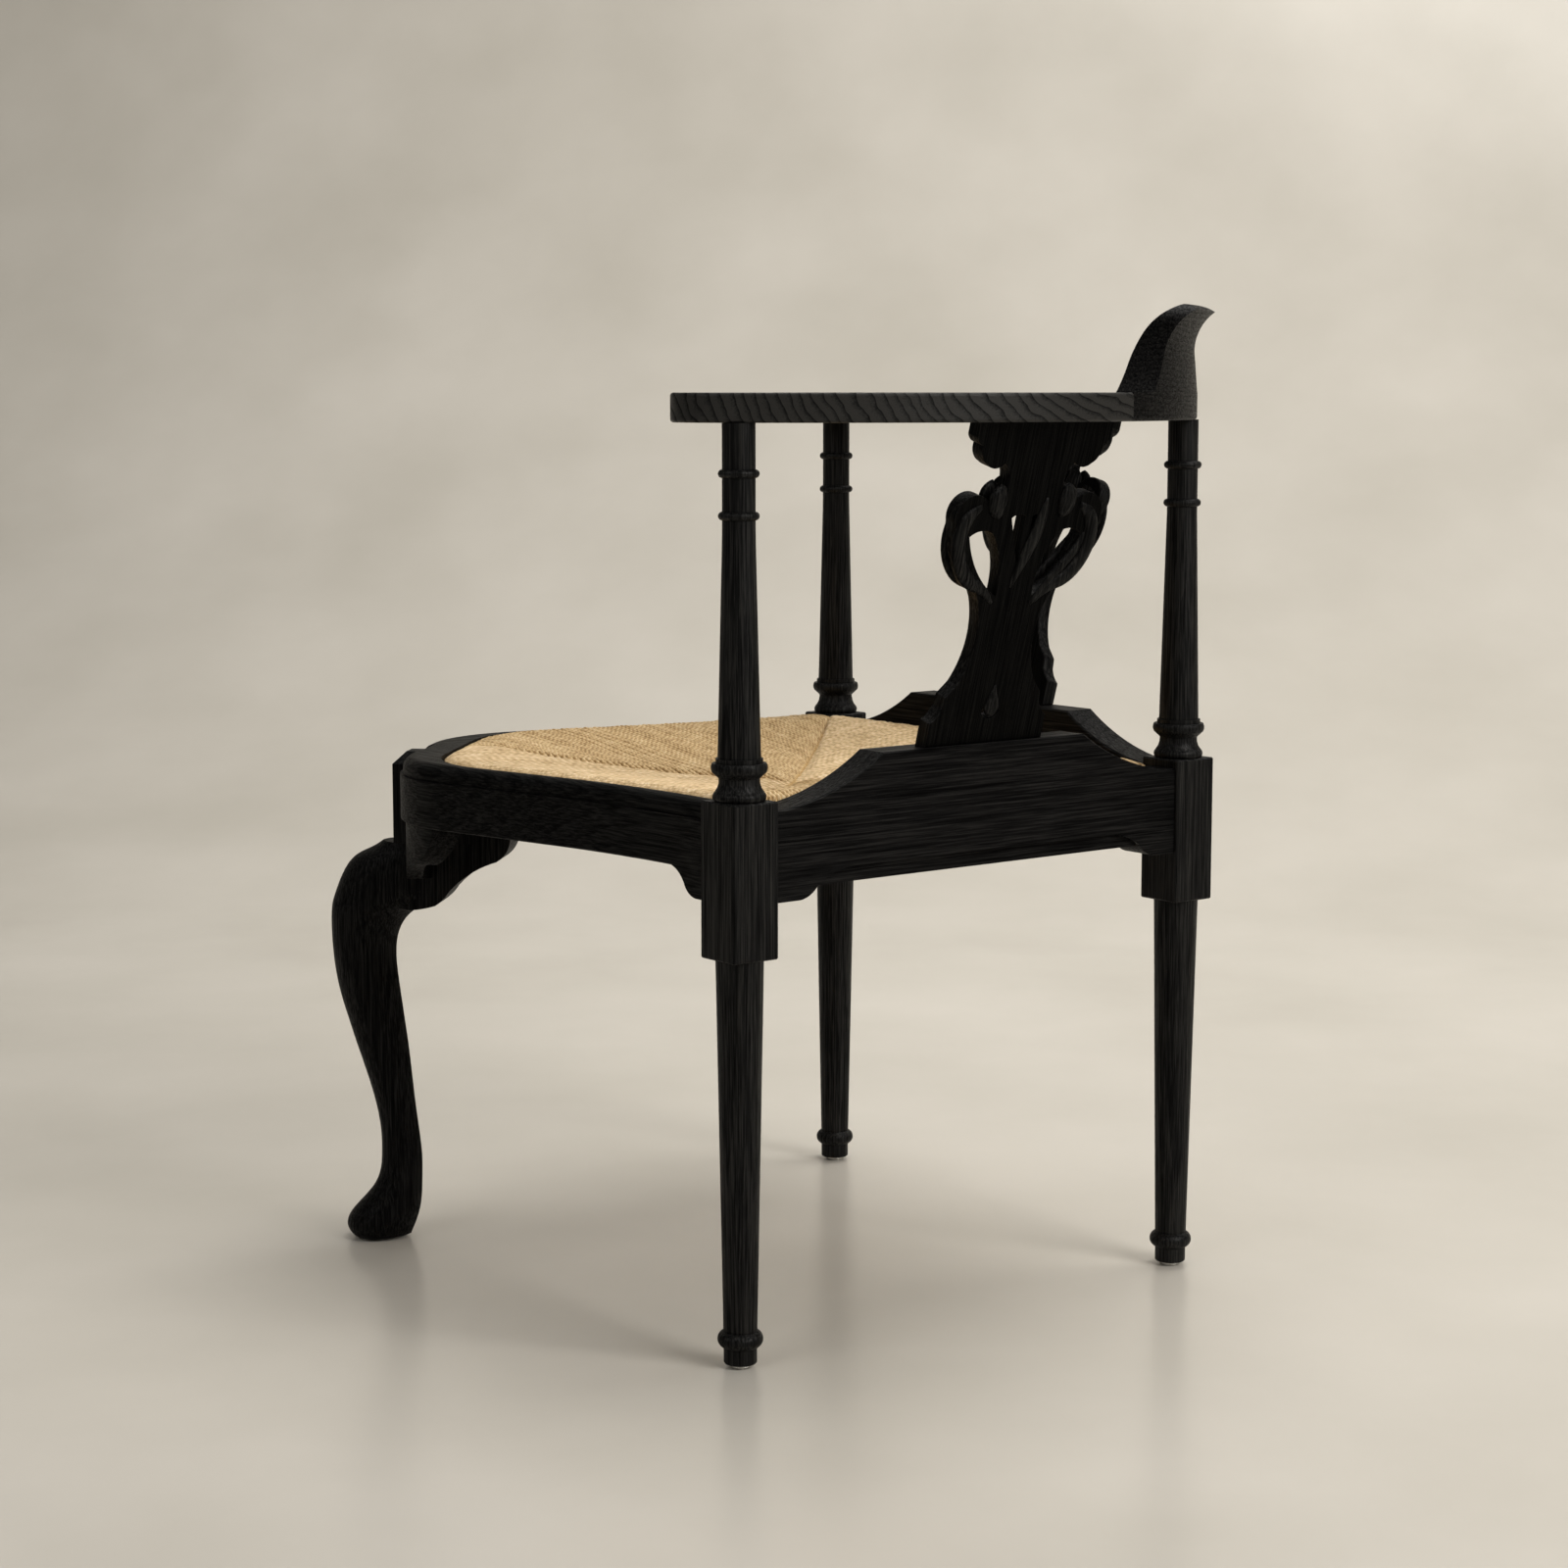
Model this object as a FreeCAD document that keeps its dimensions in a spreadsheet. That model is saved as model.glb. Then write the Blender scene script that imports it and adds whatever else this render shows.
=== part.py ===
import FreeCAD, Part
import math
import os
import Sketcher

# Corner chair. Millimetres and degrees, +Z up, the front corner towards -Y.
# The seat is a square set on its corner: a cabriole leg in front and a turned post at each
# of the other three corners. The origin lies on the floor under the middle of the whole chair.

SIZES = {
    # plan and shared joints
    "corner_reach": 323.0,
    "glue_gap": 0.1,
    "edge_chamfer": 1.2,
    # turned posts
    "block_size": 42.0,
    "block_bottom": 315.0,
    "block_top": 434.0,
    "leg_top_radius": 18.3,
    "leg_bottom_radius": 13.0,
    "foot_radius": 12.75,
    "foot_ring_radius": 17.5,
    "foot_ring_bottom": 15.5,
    "foot_ring_top": 28.5,
    "base_bead_radius": 20.2,
    "base_bead_height": 6.5,
    "base_bead_inner_radius": 18.8,
    "base_neck_radius": 15.4,
    "base_cove_height": 10.5,
    "base_cove_radius": 14.0,
    "base_flare_radius": 20.3,
    "base_flare_height": 4.5,
    "torus_radius": 21.3,
    "torus_height": 7.0,
    "base_fillet_radius": 17.8,
    "base_fillet_height": 3.5,
    "column_base_radius": 16.3,
    "column_top_radius": 12.4,
    "neck_bead_radius": 15.4,
    "neck_bead_height": 6.4,
    "neck_bead_drop": 37.0,
    "neck_bead_spacing": 31.0,
    "neck_plain_height": 9.0,
    "post_tenon_radius": 7.0,
    "post_tenon_length": 12.0,
    # glides under the feet
    "glide_height": 3.0,
    "glide_radius": 9.0,
    "glide_rounding": 1.5,
    "glide_nail_radius": 1.25,
    "glide_nail_length": 12.0,
    # seat rails
    "rail_outset": 18.0,
    "rail_inset": 12.0,
    "tenon_length": 20.0,
    "tenon_thickness": 8.0,
    "tenon_offset": 9.0,
    "tenon_bottom": 366.0,
    "tenon_top": 416.0,
    "back_rail_bottom": 378.5,
    "back_rail_end_top": 427.0,
    "back_rail_raised_top": 463.0,
    "raised_half_length": 104.5,
    "cove_setback": 9.0,
    "cove_radius": 205.0,
    "back_drop_bottom": 357.0,
    "back_drop_flat": 21.0,
    "back_drop_step": 40.0,
    "back_drop_step_height": 10.5,
    "back_drop_length": 76.0,
    "drop_lobe_radius": 23.0,
    "drop_cove_radius": 65.0,
    "front_rail_bottom": 380.0,
    "front_rail_face_top": 418.5,
    "front_rail_top": 433.0,
    "moulding_quirk": 2.5,
    "moulding_radius": 10.0,
    "moulding_flat": 0.5,
    "serpentine_start": 40.0,
    "serpentine_radius": 770.0,
    "serpentine_turn": 12.7,
    "front_corner_radius": 122.0,
    "front_flat_half_width": 36.5,
    "front_deck": 26.0,
    "front_drop_bottom": 358.0,
    "front_drop_flat": 8.0,
    "front_drop_step": 24.0,
    "front_drop_step_height": 8.0,
    "front_drop_length": 41.0,
    "front_lobe_radius": 18.0,
    "front_cove_radius": 26.0,
    # cabriole leg and its knee brackets
    "head_half_width": 20.0,
    "head_projection": 15.0,
    "head_bottom": 352.0,
    "head_top": 430.0,
    "head_bevel": 10.0,
    "head_tenon_length": 14.0,
    "head_tenon_thickness": 9.0,
    "head_tenon_setback": 2.0,
    "head_tenon_bottom": 388.0,
    "head_tenon_top": 416.0,
    "leg_ridge_share": 0.42,
    "leg_front_fullness": 0.78,
    "leg_back_fullness": 0.95,
    "bracket_setback": 4.0,
    "bracket_housing": 1.0,
    "bracket_thickness": 14.0,
    "bracket_reach": 106.0,
    "bracket_bottom": 322.0,
    "bracket_lobe_length": 42.0,
    "bracket_lobe_rise": 6.0,
    "bracket_cove_length": 86.0,
    "bracket_cove_rise": 25.0,
    "bracket_cove_radius": 60.0,
    "bracket_nose_rise": 55.0,
    "bracket_nose_radius": 40.0,
    # horseshoe arm and crest
    "arm_underside": 713.0,
    "arm_thickness": 22.0,
    "arm_overhang": 11.0,
    "arm_width": 66.0,
    "arm_front_reach": 56.0,
    "arm_corner_radius": 9.0,
    "arm_hand_radius": 46.0,
    "arm_edge_radius": 2.5,
    "arm_joint_angle": 31.5,
    "dowel_radius": 4.0,
    "dowel_length": 44.0,
    "dowel_spacing": 32.0,
    "crest_height": 69.5,
    "crest_foot_angle": 31.0,
    "crest_foot_half_width": 146.0,
    "crest_shoulder_half_width": 112.0,
    "crest_shoulder_height": 52.0,
    "crest_shoulder_swell": 4.0,
    "crest_top_half_width": 88.0,
    "crest_end_hollow": 2.2,
    "crest_thickness": 26.5,
    "crest_waist": 3.0,
    "crest_waist_height": 34.0,
    "crest_roll_reach": 13.0,
    "crest_tip_drop": 4.5,
    "crest_roll_radius": 39.0,
    "crest_lip_radius": 25.0,
    "crest_brow_height": 46.0,
    "crest_brow_setback": 4.5,
    "crest_brow_radius": 45.0,
    "crest_face_height": 20.0,
    "crest_face_radius": 70.0,
    # splats
    "splat_lean": 16.0,
    "splat_base_outset": 8.0,
    "splat_drawn_length": 260.0,
    "splat_thickness": 12.0,
    "splat_tenon_half_width": 45.0,
    "splat_tenon_thickness": 6.0,
    "splat_foot_tenon": 15.0,
    "splat_head_tenon": 9.0,
    "splat_drop_half_width": 9.0,
    "splat_drop_bottom": 28.0,
    "splat_drop_height": 21.0,
    "splat_drop_swell": 6.5,
    # drop-in seat
    "seat_clearance": 2.0,
    "seat_bottom": 396.0,
    "seat_rest_gap": 0.3,
    "rush_thickness": 5.0,
    "seat_frame_width": 35.0,
    "seat_frame_thickness": 23.0,
    "seat_edge_rounding": 5.0,
    "seat_rim_top": 435.5,
    "dish_depth": 23.5,
    "dish_power": 1.8,
    "dish_side": 268.0,
    "dish_front": 254.0,
    "dish_front_half_width": 86.0,
    "seat_front_lap": 22.0,
    "corner_block_leg": 66.0,
    "corner_block_height": 15.0,
    "front_block_half_width": 34.0,
    "front_block_depth": 60.0,
}

# Stations of the cabriole leg: height, reach in front of the corner, reach of the back, half width.
LEG_STATIONS = {
    "leg_head": (352.0, 34.0, -25.0, 21.0),
    "upper_knee": (339.0, 57.0, -25.0, 24.0),
    "mid_knee": (320.0, 71.5, -24.0, 26.5),
    "lower_knee": (299.0, 79.5, -11.0, 27.0),
    "knee_back": (288.0, 81.0, 11.0, 27.0),
    "upper_calf": (266.0, 80.5, 23.0, 26.0),
    "calf": (235.0, 77.5, 23.0, 24.5),
    "lower_calf": (197.0, 68.0, 18.0, 22.0),
    "shin": (157.0, 55.0, 13.0, 19.5),
    "ankle_top": (118.0, 43.5, 9.0, 17.0),
    "ankle": (86.0, 39.5, 5.0, 16.5),
    "heel": (57.0, 42.0, 4.0, 18.5),
    "instep": (36.0, 55.5, 5.0, 24.0),
    "toe": (15.0, 71.0, 10.0, 29.0),
    "sole": (3.0, 66.0, 15.0, 25.0),
}

# Lower edge of the bracket behind the knee, from the leg to its nose: depth behind the flat front of the
# rails, height, and how far the stretch up to that point swells (negative where it is hollow).
KNEE_STATIONS = {
    "knee_heel": (-2.0, 293.3, 0.0),
    "knee_lobe": (20.5, 297.5, 0.7),
    "knee_cove": (33.0, 310.3, 0.9),
    "knee_nose": (74.5, 336.5, -3.3),
    "knee_tip": (87.0, 356.0, 2.8),
}

# Half outline of a splat, upwards from its foot: distance from the middle, height up the board, and how
# far the stretch up to that point swells from a straight line (negative where it is hollow).
SPLAT_STATIONS = {
    "splat_foot": (60.0, 21.0, 0.0),
    "splat_step": (50.0, 33.0, -1.2),
    "splat_cove": (49.0, 42.0, 0.0),
    "splat_ankle": (39.5, 52.0, 0.0),
    "splat_waist": (35.5, 120.0, -8.0),
    "splat_hip": (39.5, 127.0, 0.0),
    "splat_lobe": (50.0, 130.5, 0.0),
    "splat_shoulder": (73.5, 182.0, 5.3),
    "splat_scroll": (46.0, 200.5, 12.9),
    "splat_notch": (39.5, 198.5, 0.0),
    "splat_neck": (36.0, 229.5, -9.5),
    "splat_ear": (53.0, 228.5, 3.4),
    "splat_scallop": (61.0, 243.5, 3.0),
    "splat_corner": (68.0, 250.0, 1.3),
}
# Openings of a splat, as corners in the same three numbers: a teardrop and a slit to each side of the
# middle, and one drop at the foot.
SPLAT_OPENINGS = {
    "teardrop": {
        "teardrop_head": (34.0, 174.0, 3.5),
        "teardrop_tip": (18.5, 123.0, 5.5),
        "teardrop_side": (57.0, 172.0, 6.0),
    },
    "slit": {
        "slit_head": (3.0, 187.0, 2.5),
        "slit_tip": (3.0, 146.0, 0.0),
        "slit_side": (18.0, 186.0, 0.0),
    },
}
# Section of the rush seat's rounded rim: inset from the seat's edge, drop below the top of the rim.
RIM_STATIONS = {
    "rim_side": (0.0, 9.0),
    "rim_turn": (1.2, 4.6),
    "rim_roll": (3.6, 1.8),
    "rim_brow": (7.5, 0.4),
    "rim_top": (11.0, 0.0),
}
# Levels of the dish in the rush, as shares of its whole size; the last one stands above the rim.
DISH_LEVELS = (0.05, 0.2, 0.35, 0.5, 0.65, 0.8, 0.9, 1.04)

doc = FreeCAD.newDocument("corner_chair")
sheet = doc.addObject("Spreadsheet::Sheet", "Sizes")


class Size:
    """A length or angle: its value, and the sheet formula that gives it."""

    def __init__(self, value, formula):
        self.value = float(value)
        self.formula = formula

    def __add__(self, other):
        other = as_size(other)
        return Size(self.value + other.value, f"({self.formula} + {other.formula})")

    def __sub__(self, other):
        other = as_size(other)
        return Size(self.value - other.value, f"({self.formula} - {other.formula})")

    def __mul__(self, other):
        other = as_size(other)
        return Size(self.value * other.value, f"({self.formula} * {other.formula})")

    def __truediv__(self, other):
        other = as_size(other)
        return Size(self.value / other.value, f"({self.formula} / {other.formula})")

    def __neg__(self):
        return self * -1

    def __radd__(self, other):
        return as_size(other) + self

    def __rsub__(self, other):
        return as_size(other) - self

    def __rmul__(self, other):
        return as_size(other) * self


def as_size(number):
    """A plain number counts as a size that never changes."""
    if isinstance(number, Size):
        return number
    return Size(number, f"({number:.6f})")


def sine(angle):
    return Size(math.sin(math.radians(angle.value)), f"sin({angle.formula})")


def cosine(angle):
    return Size(math.cos(math.radians(angle.value)), f"cos({angle.formula})")


def tangent(angle):
    return sine(angle) / cosine(angle)


def root(square):
    return Size(math.sqrt(square.value), f"sqrt({square.formula})")


def power(share, exponent):
    return Size(share ** exponent.value, f"({share} ^ {exponent.formula})")


def add_size(row, name, value):
    """Write one driving size into the sheet and return it."""
    sheet.set(f"A{row}", name)
    sheet.set(f"B{row}", str(value))
    sheet.setAlias(f"B{row}", name)
    return Size(value, f"Sizes.{name}")


def add_stations(stations, kinds):
    """Write the numbers of each station into the sheet, under the station's name and their kind."""
    for station, numbers in stations.items():
        for kind, value in zip(kinds, numbers):
            size[f"{station}_{kind}"] = add_size(len(size) + 1, f"{station}_{kind}", value)


size = {}
for name, value in SIZES.items():
    size[name] = add_size(len(size) + 1, name, value)
add_stations(LEG_STATIONS, ("height", "front", "back", "width"))
add_stations(KNEE_STATIONS, ("depth", "height", "swell"))
add_stations(SPLAT_STATIONS, ("across", "rise", "swell"))
for corners in SPLAT_OPENINGS.values():
    add_stations(corners, ("across", "rise", "swell"))
add_stations(RIM_STATIONS, ("inset", "drop"))
doc.recompute()

# Places that many pieces share.
HALF_ROOT = as_size(math.sqrt(0.5))
REACH = size["corner_reach"]
HALF_BLOCK = size["block_size"] / 2
HALF_SIDE = REACH * HALF_ROOT
RAIL_THICKNESS = size["rail_outset"] + size["rail_inset"]
ARM_TOP = size["arm_underside"] + size["arm_thickness"]
ARM_OUTER = REACH + size["arm_overhang"]
ARM_INNER = ARM_OUTER - size["arm_width"]
LEDGE = size["seat_bottom"] - size["seat_rest_gap"]
LIP = size["moulding_quirk"] + size["moulding_radius"] + size["moulding_flat"]
FRAME_BOTTOM = size["seat_bottom"] + size["rush_thickness"]
FRAME_INSET = size["seat_clearance"] + size["rush_thickness"]
FRONT_REACH = REACH + size["knee_back_front"]
BACK_REACH = REACH + (size["block_size"] - size["edge_chamfer"]) * HALF_ROOT
CENTRE_SHIFT = (FRONT_REACH - BACK_REACH) / 2
SPLAT_RISE = size["arm_underside"] - size["back_rail_raised_top"]
SPLAT_LENGTH = SPLAT_RISE / cosine(size["splat_lean"])

# The three posts: place of the axis as shares of the reach, and the turn of the square block.
POSTS = {
    "right": (1, 0, 135),
    "back": (0, 1, 225),
    "left": (-1, 0, 315),
}
# The two back sides: middle of the side as shares of half the reach, and the turn of the rail.
BACK_SIDES = {
    "right": (1, 1, 135),
    "left": (-1, 1, 225),
}
SIDES = {"right": 1, "left": -1}
nodes = []


def vector_text(x, y, z):
    return f"vector({as_size(x).formula}; {as_size(y).formula}; {as_size(z).formula})"


def turn_text(axis, angle):
    return f"rotation(vector({axis[0]}; {axis[1]}; {axis[2]}); {as_size(angle).formula})"


def place(piece, x=0, y=0, z=0, turn=0, tilt=0):
    """Put a piece in the chair: turned about Z after a tilt about its own X axis."""
    turning = turn_text((0, 0, 1), turn) + " * " + turn_text((1, 0, 0), tilt)
    spot = vector_text(x, as_size(y) + CENTRE_SHIFT, z)
    piece.setExpression("Placement", f"placement({spot}; {turning})")


def new_body(label):
    body = doc.addObject("PartDesign::Body", label)
    body.Label = label
    nodes.append(body)
    return body


def sketch_in(body, name, plane, at=(0, 0, 0), turn=0, tilt=0):
    """A sketch on one of the body's own planes, moved to a place and turned about the body's Z."""
    sketch = body.newObject("Sketcher::SketchObject", f"{body.Label}_{name}")
    support = next(part for part in body.Origin.OriginFeatures if part.Role == plane)
    sketch.AttachmentSupport = (support, [""])
    sketch.MapMode = "FlatFace"
    x, y, z = (as_size(value) for value in at)
    if plane == "XY_Plane":
        spot, axis = vector_text(x, y, z), (0, 0, 1)
    elif plane == "XZ_Plane":
        spot, axis = vector_text(x, z, -y), (0, 1, 0)
    else:
        spot, axis = vector_text(y, z, x), (0, 1, 0)
    turning = turn_text(axis, turn) + " * " + turn_text((1, 0, 0), tilt)
    sketch.setExpression("AttachmentOffset", f"placement({spot}; {turning})")
    return sketch


def bind(sketch, constraint, amount):
    index = sketch.addConstraint(constraint)
    sketch.setExpression(f"Constraints[{index}]", amount.formula)


def arc_between(start, end, radius):
    """The shorter arc from start to end: anticlockwise for a positive radius."""
    bow = abs(radius)
    half = (end - start) * 0.5
    rise = math.sqrt(max(bow * bow - half.Length ** 2, 0.0))
    left = FreeCAD.Vector(-half.y, half.x, 0).normalize()
    centre = start + half + left * math.copysign(rise, radius)
    first, last = (start, end) if radius > 0 else (end, start)
    first_angle = math.atan2(first.y - centre.y, first.x - centre.x)
    last_angle = math.atan2(last.y - centre.y, last.x - centre.x)
    return Part.ArcOfCircle(Part.Circle(centre, FreeCAD.Vector(0, 0, 1), bow), first_angle, last_angle)


def draw(sketch, path):
    """Draw a closed path. Each step is (x, y) for a line to that corner, or (x, y, radius) for an
    arc to it, anticlockwise where the radius is positive. Every corner is tied to the sheet."""
    steps = [tuple(as_size(value) for value in step) for step in path]
    spots = [FreeCAD.Vector(step[0].value, step[1].value, 0) for step in steps]
    first = sketch.GeometryCount
    ends = []
    for index, step in enumerate(steps):
        start, end = spots[index - 1], spots[index]
        if len(step) == 2:
            sketch.addGeometry(Part.LineSegment(start, end), False)
            ends.append((1, 2))
        else:
            sketch.addGeometry(arc_between(start, end, step[2].value), False)
            ends.append((1, 2) if step[2].value > 0 else (2, 1))
    for index, step in enumerate(steps):
        piece = first + index
        following = (index + 1) % len(steps)
        finish = ends[index][1]
        sketch.addConstraint(Sketcher.Constraint(
            "Coincident", piece, finish, first + following, ends[following][0]))
        bind(sketch, Sketcher.Constraint("DistanceX", piece, finish, step[0].value), step[0])
        bind(sketch, Sketcher.Constraint("DistanceY", piece, finish, step[1].value), step[1])
        if len(step) == 3:
            radius = step[2] if step[2].value > 0 else -step[2]
            bind(sketch, Sketcher.Constraint("Radius", piece, radius.value), radius)


def draw_circle(sketch, x, y, radius):
    spot = FreeCAD.Vector(as_size(x).value, as_size(y).value, 0)
    piece = sketch.addGeometry(Part.Circle(spot, FreeCAD.Vector(0, 0, 1), radius.value), False)
    bind(sketch, Sketcher.Constraint("DistanceX", piece, 3, spot.x), as_size(x))
    bind(sketch, Sketcher.Constraint("DistanceY", piece, 3, spot.y), as_size(y))
    bind(sketch, Sketcher.Constraint("Radius", piece, radius.value), radius)


def box_path(left, bottom, right, top):
    return [(left, bottom), (right, bottom), (right, top), (left, top)]


def feature(body, kind, sketch, length=None, middle=False, back=False):
    """A pad or pocket of a sketch, from its plane or to both sides of it."""
    made = body.newObject(f"PartDesign::{kind}", f"{sketch.Name}_{kind.lower()}")
    made.Profile = sketch
    made.setExpression("Length", as_size(length).formula)
    made.SideType = "Symmetric" if middle else "One side"
    made.Reversed = back
    body.Tip = made
    return made


def spin(body, sketch, angle=360, kind="Revolution"):
    """Turn a sketch about the body's Z axis, evenly to both sides of its plane."""
    made = body.newObject(f"PartDesign::{kind}", f"{sketch.Name}_{kind.lower()}")
    made.Profile = sketch
    made.ReferenceAxis = (sketch, ["V_Axis"])
    made.setExpression("Angle", as_size(angle).formula)
    made.Midplane = True
    body.Tip = made
    return made


def soften(body, kind, amount, chosen):
    """Round or chamfer the edges of the body so far that the test picks out."""
    doc.recompute()
    base = body.Tip
    picked = [f"Edge{number}" for number, edge in enumerate(base.Shape.Edges, 1) if chosen(edge)]
    made = body.newObject(f"PartDesign::{kind}", f"{body.Label}_{kind.lower()}")
    made.Base = (base, picked)
    made.setExpression("Radius" if kind == "Fillet" else "Size", amount.formula)
    body.Tip = made
    return made


def lies_flat(edge, height):
    """Whether an edge lies in the level plane at this height."""
    box = edge.BoundBox
    return abs(box.ZMin - height.value) < 0.01 and abs(box.ZMax - height.value) < 0.01


def mirrored(path, side):
    """A plan path for one side of the chair; the left one is the mirror image of the right."""
    if side > 0:
        return path
    return [(-step[0], step[1]) + tuple(-radius for radius in step[2:]) for step in path]


def along(post, first, second):
    """The point this far from a post's axis along its two rails."""
    share_x, share_y, turn = POSTS[post]
    cos_turn = math.cos(math.radians(turn))
    sin_turn = math.sin(math.radians(turn))
    x = REACH * share_x + first * cos_turn - second * sin_turn
    y = REACH * share_y + first * sin_turn + second * cos_turn
    return x, y


def long_bend():
    """Centre of the right front rail's long bend, and the direction square to its far end."""
    x, y = along("right", -size["rail_outset"] - size["serpentine_radius"], size["serpentine_start"])
    return x, y, cosine(size["serpentine_turn"] - 45), sine(size["serpentine_turn"] - 45)


def front_face():
    """How far the flat front of the seat stands from its middle: the front corner touches the
    straight end of the long bend and the flat."""
    bend_x, bend_y, normal_x, normal_y = long_bend()
    radius = size["serpentine_radius"]
    rise = (bend_x - radius * normal_x - size["front_flat_half_width"]) * normal_x
    centre_y = bend_y - radius * normal_y + (rise - size["front_corner_radius"]) / normal_y
    return size["front_corner_radius"] - centre_y


def front_curve(inset, deck=0):
    """Corners of the right front rail's face, this far inside it, from the post to the front:
    start at the block, start and end of the long bend, start and end of the front corner.
    The deck is how much further back the flat front stands, behind a wider top at the leg."""
    depth = size["rail_outset"] - inset
    start = along("right", -depth, HALF_BLOCK)
    bend_start = along("right", -depth, size["serpentine_start"])
    bend_x, bend_y, normal_x, normal_y = long_bend()
    bend_radius = size["serpentine_radius"] + inset
    bend_end = (bend_x - bend_radius * normal_x, bend_y - bend_radius * normal_y)
    centre_x = size["front_flat_half_width"] - normal_y / normal_x * deck
    centre_y = size["front_corner_radius"] - FRONT_FACE + deck
    corner_radius = size["front_corner_radius"] - inset
    corner_start = (centre_x + corner_radius * normal_x, centre_y + corner_radius * normal_y)
    corner_end = (centre_x, centre_y - corner_radius)
    return start, bend_start, bend_end, corner_start, corner_end, bend_radius, corner_radius


FRONT_FACE = front_face()


def rail_plan(outer_inset, inner_inset):
    """Plan of the right front rail between two insets from its face."""
    start, bend_start, bend_end, turn_start, turn_end, bend, turn = front_curve(outer_inset)
    back, in_start, in_end, in_turn, in_front, in_bend, in_radius = front_curve(
        inner_inset, size["front_deck"])
    butt = size["head_half_width"]
    return [
        start,
        bend_start,
        bend_end + (bend,),
        turn_start,
        turn_end + (-turn,),
        (butt, turn_end[1]),
        (butt, in_front[1]),
        in_front,
        in_turn + (in_radius,),
        in_end,
        in_start + (-in_bend,),
        back,
    ]


def bend_point(inset, distance):
    """The point of the right front rail's long bend, this far inside its face and from the post."""
    radius = size["serpentine_radius"] + inset
    run = distance - size["serpentine_start"]
    depth = root(radius * radius - run * run) - size["rail_outset"] - size["serpentine_radius"]
    return along("right", depth, distance)


def seat_plan(inset):
    """Plan of the drop-in seat, this far inside the rails and the posts, anticlockwise from the front:
    it fills the rebate behind the front rails' lips and is notched round the three posts."""
    gap = size["rail_inset"] + inset
    notch = HALF_BLOCK + inset
    curve = front_curve(LIP + inset, size["front_deck"])
    bend_end, turn_start, turn_end, bend, turn = curve[2:]
    rear = bend_point(LIP + inset, notch)
    right = [turn_end, turn_start + (turn,), bend_end, rear + (-bend,)]
    left = [
        (-rear[0], rear[1]),
        (-bend_end[0], bend_end[1], -bend),
        (-turn_start[0], turn_start[1]),
        (-turn_end[0], turn_end[1], turn),
    ]
    corners = [
        along("right", notch, notch),
        along("right", notch, gap),
        along("back", gap, notch),
        along("back", notch, notch),
        along("back", notch, gap),
        along("left", gap, notch),
        along("left", notch, notch),
    ]
    return right + corners + left


def bead(radius, bottom, top, inner):
    """A turned bead from one height to another: two steps of a profile that goes upwards."""
    half = (top - bottom) / 2
    swell = radius - inner
    bow = (half * half + swell * swell) / (2 * swell)
    return [(inner, bottom), (inner, top, bow)]


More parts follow.
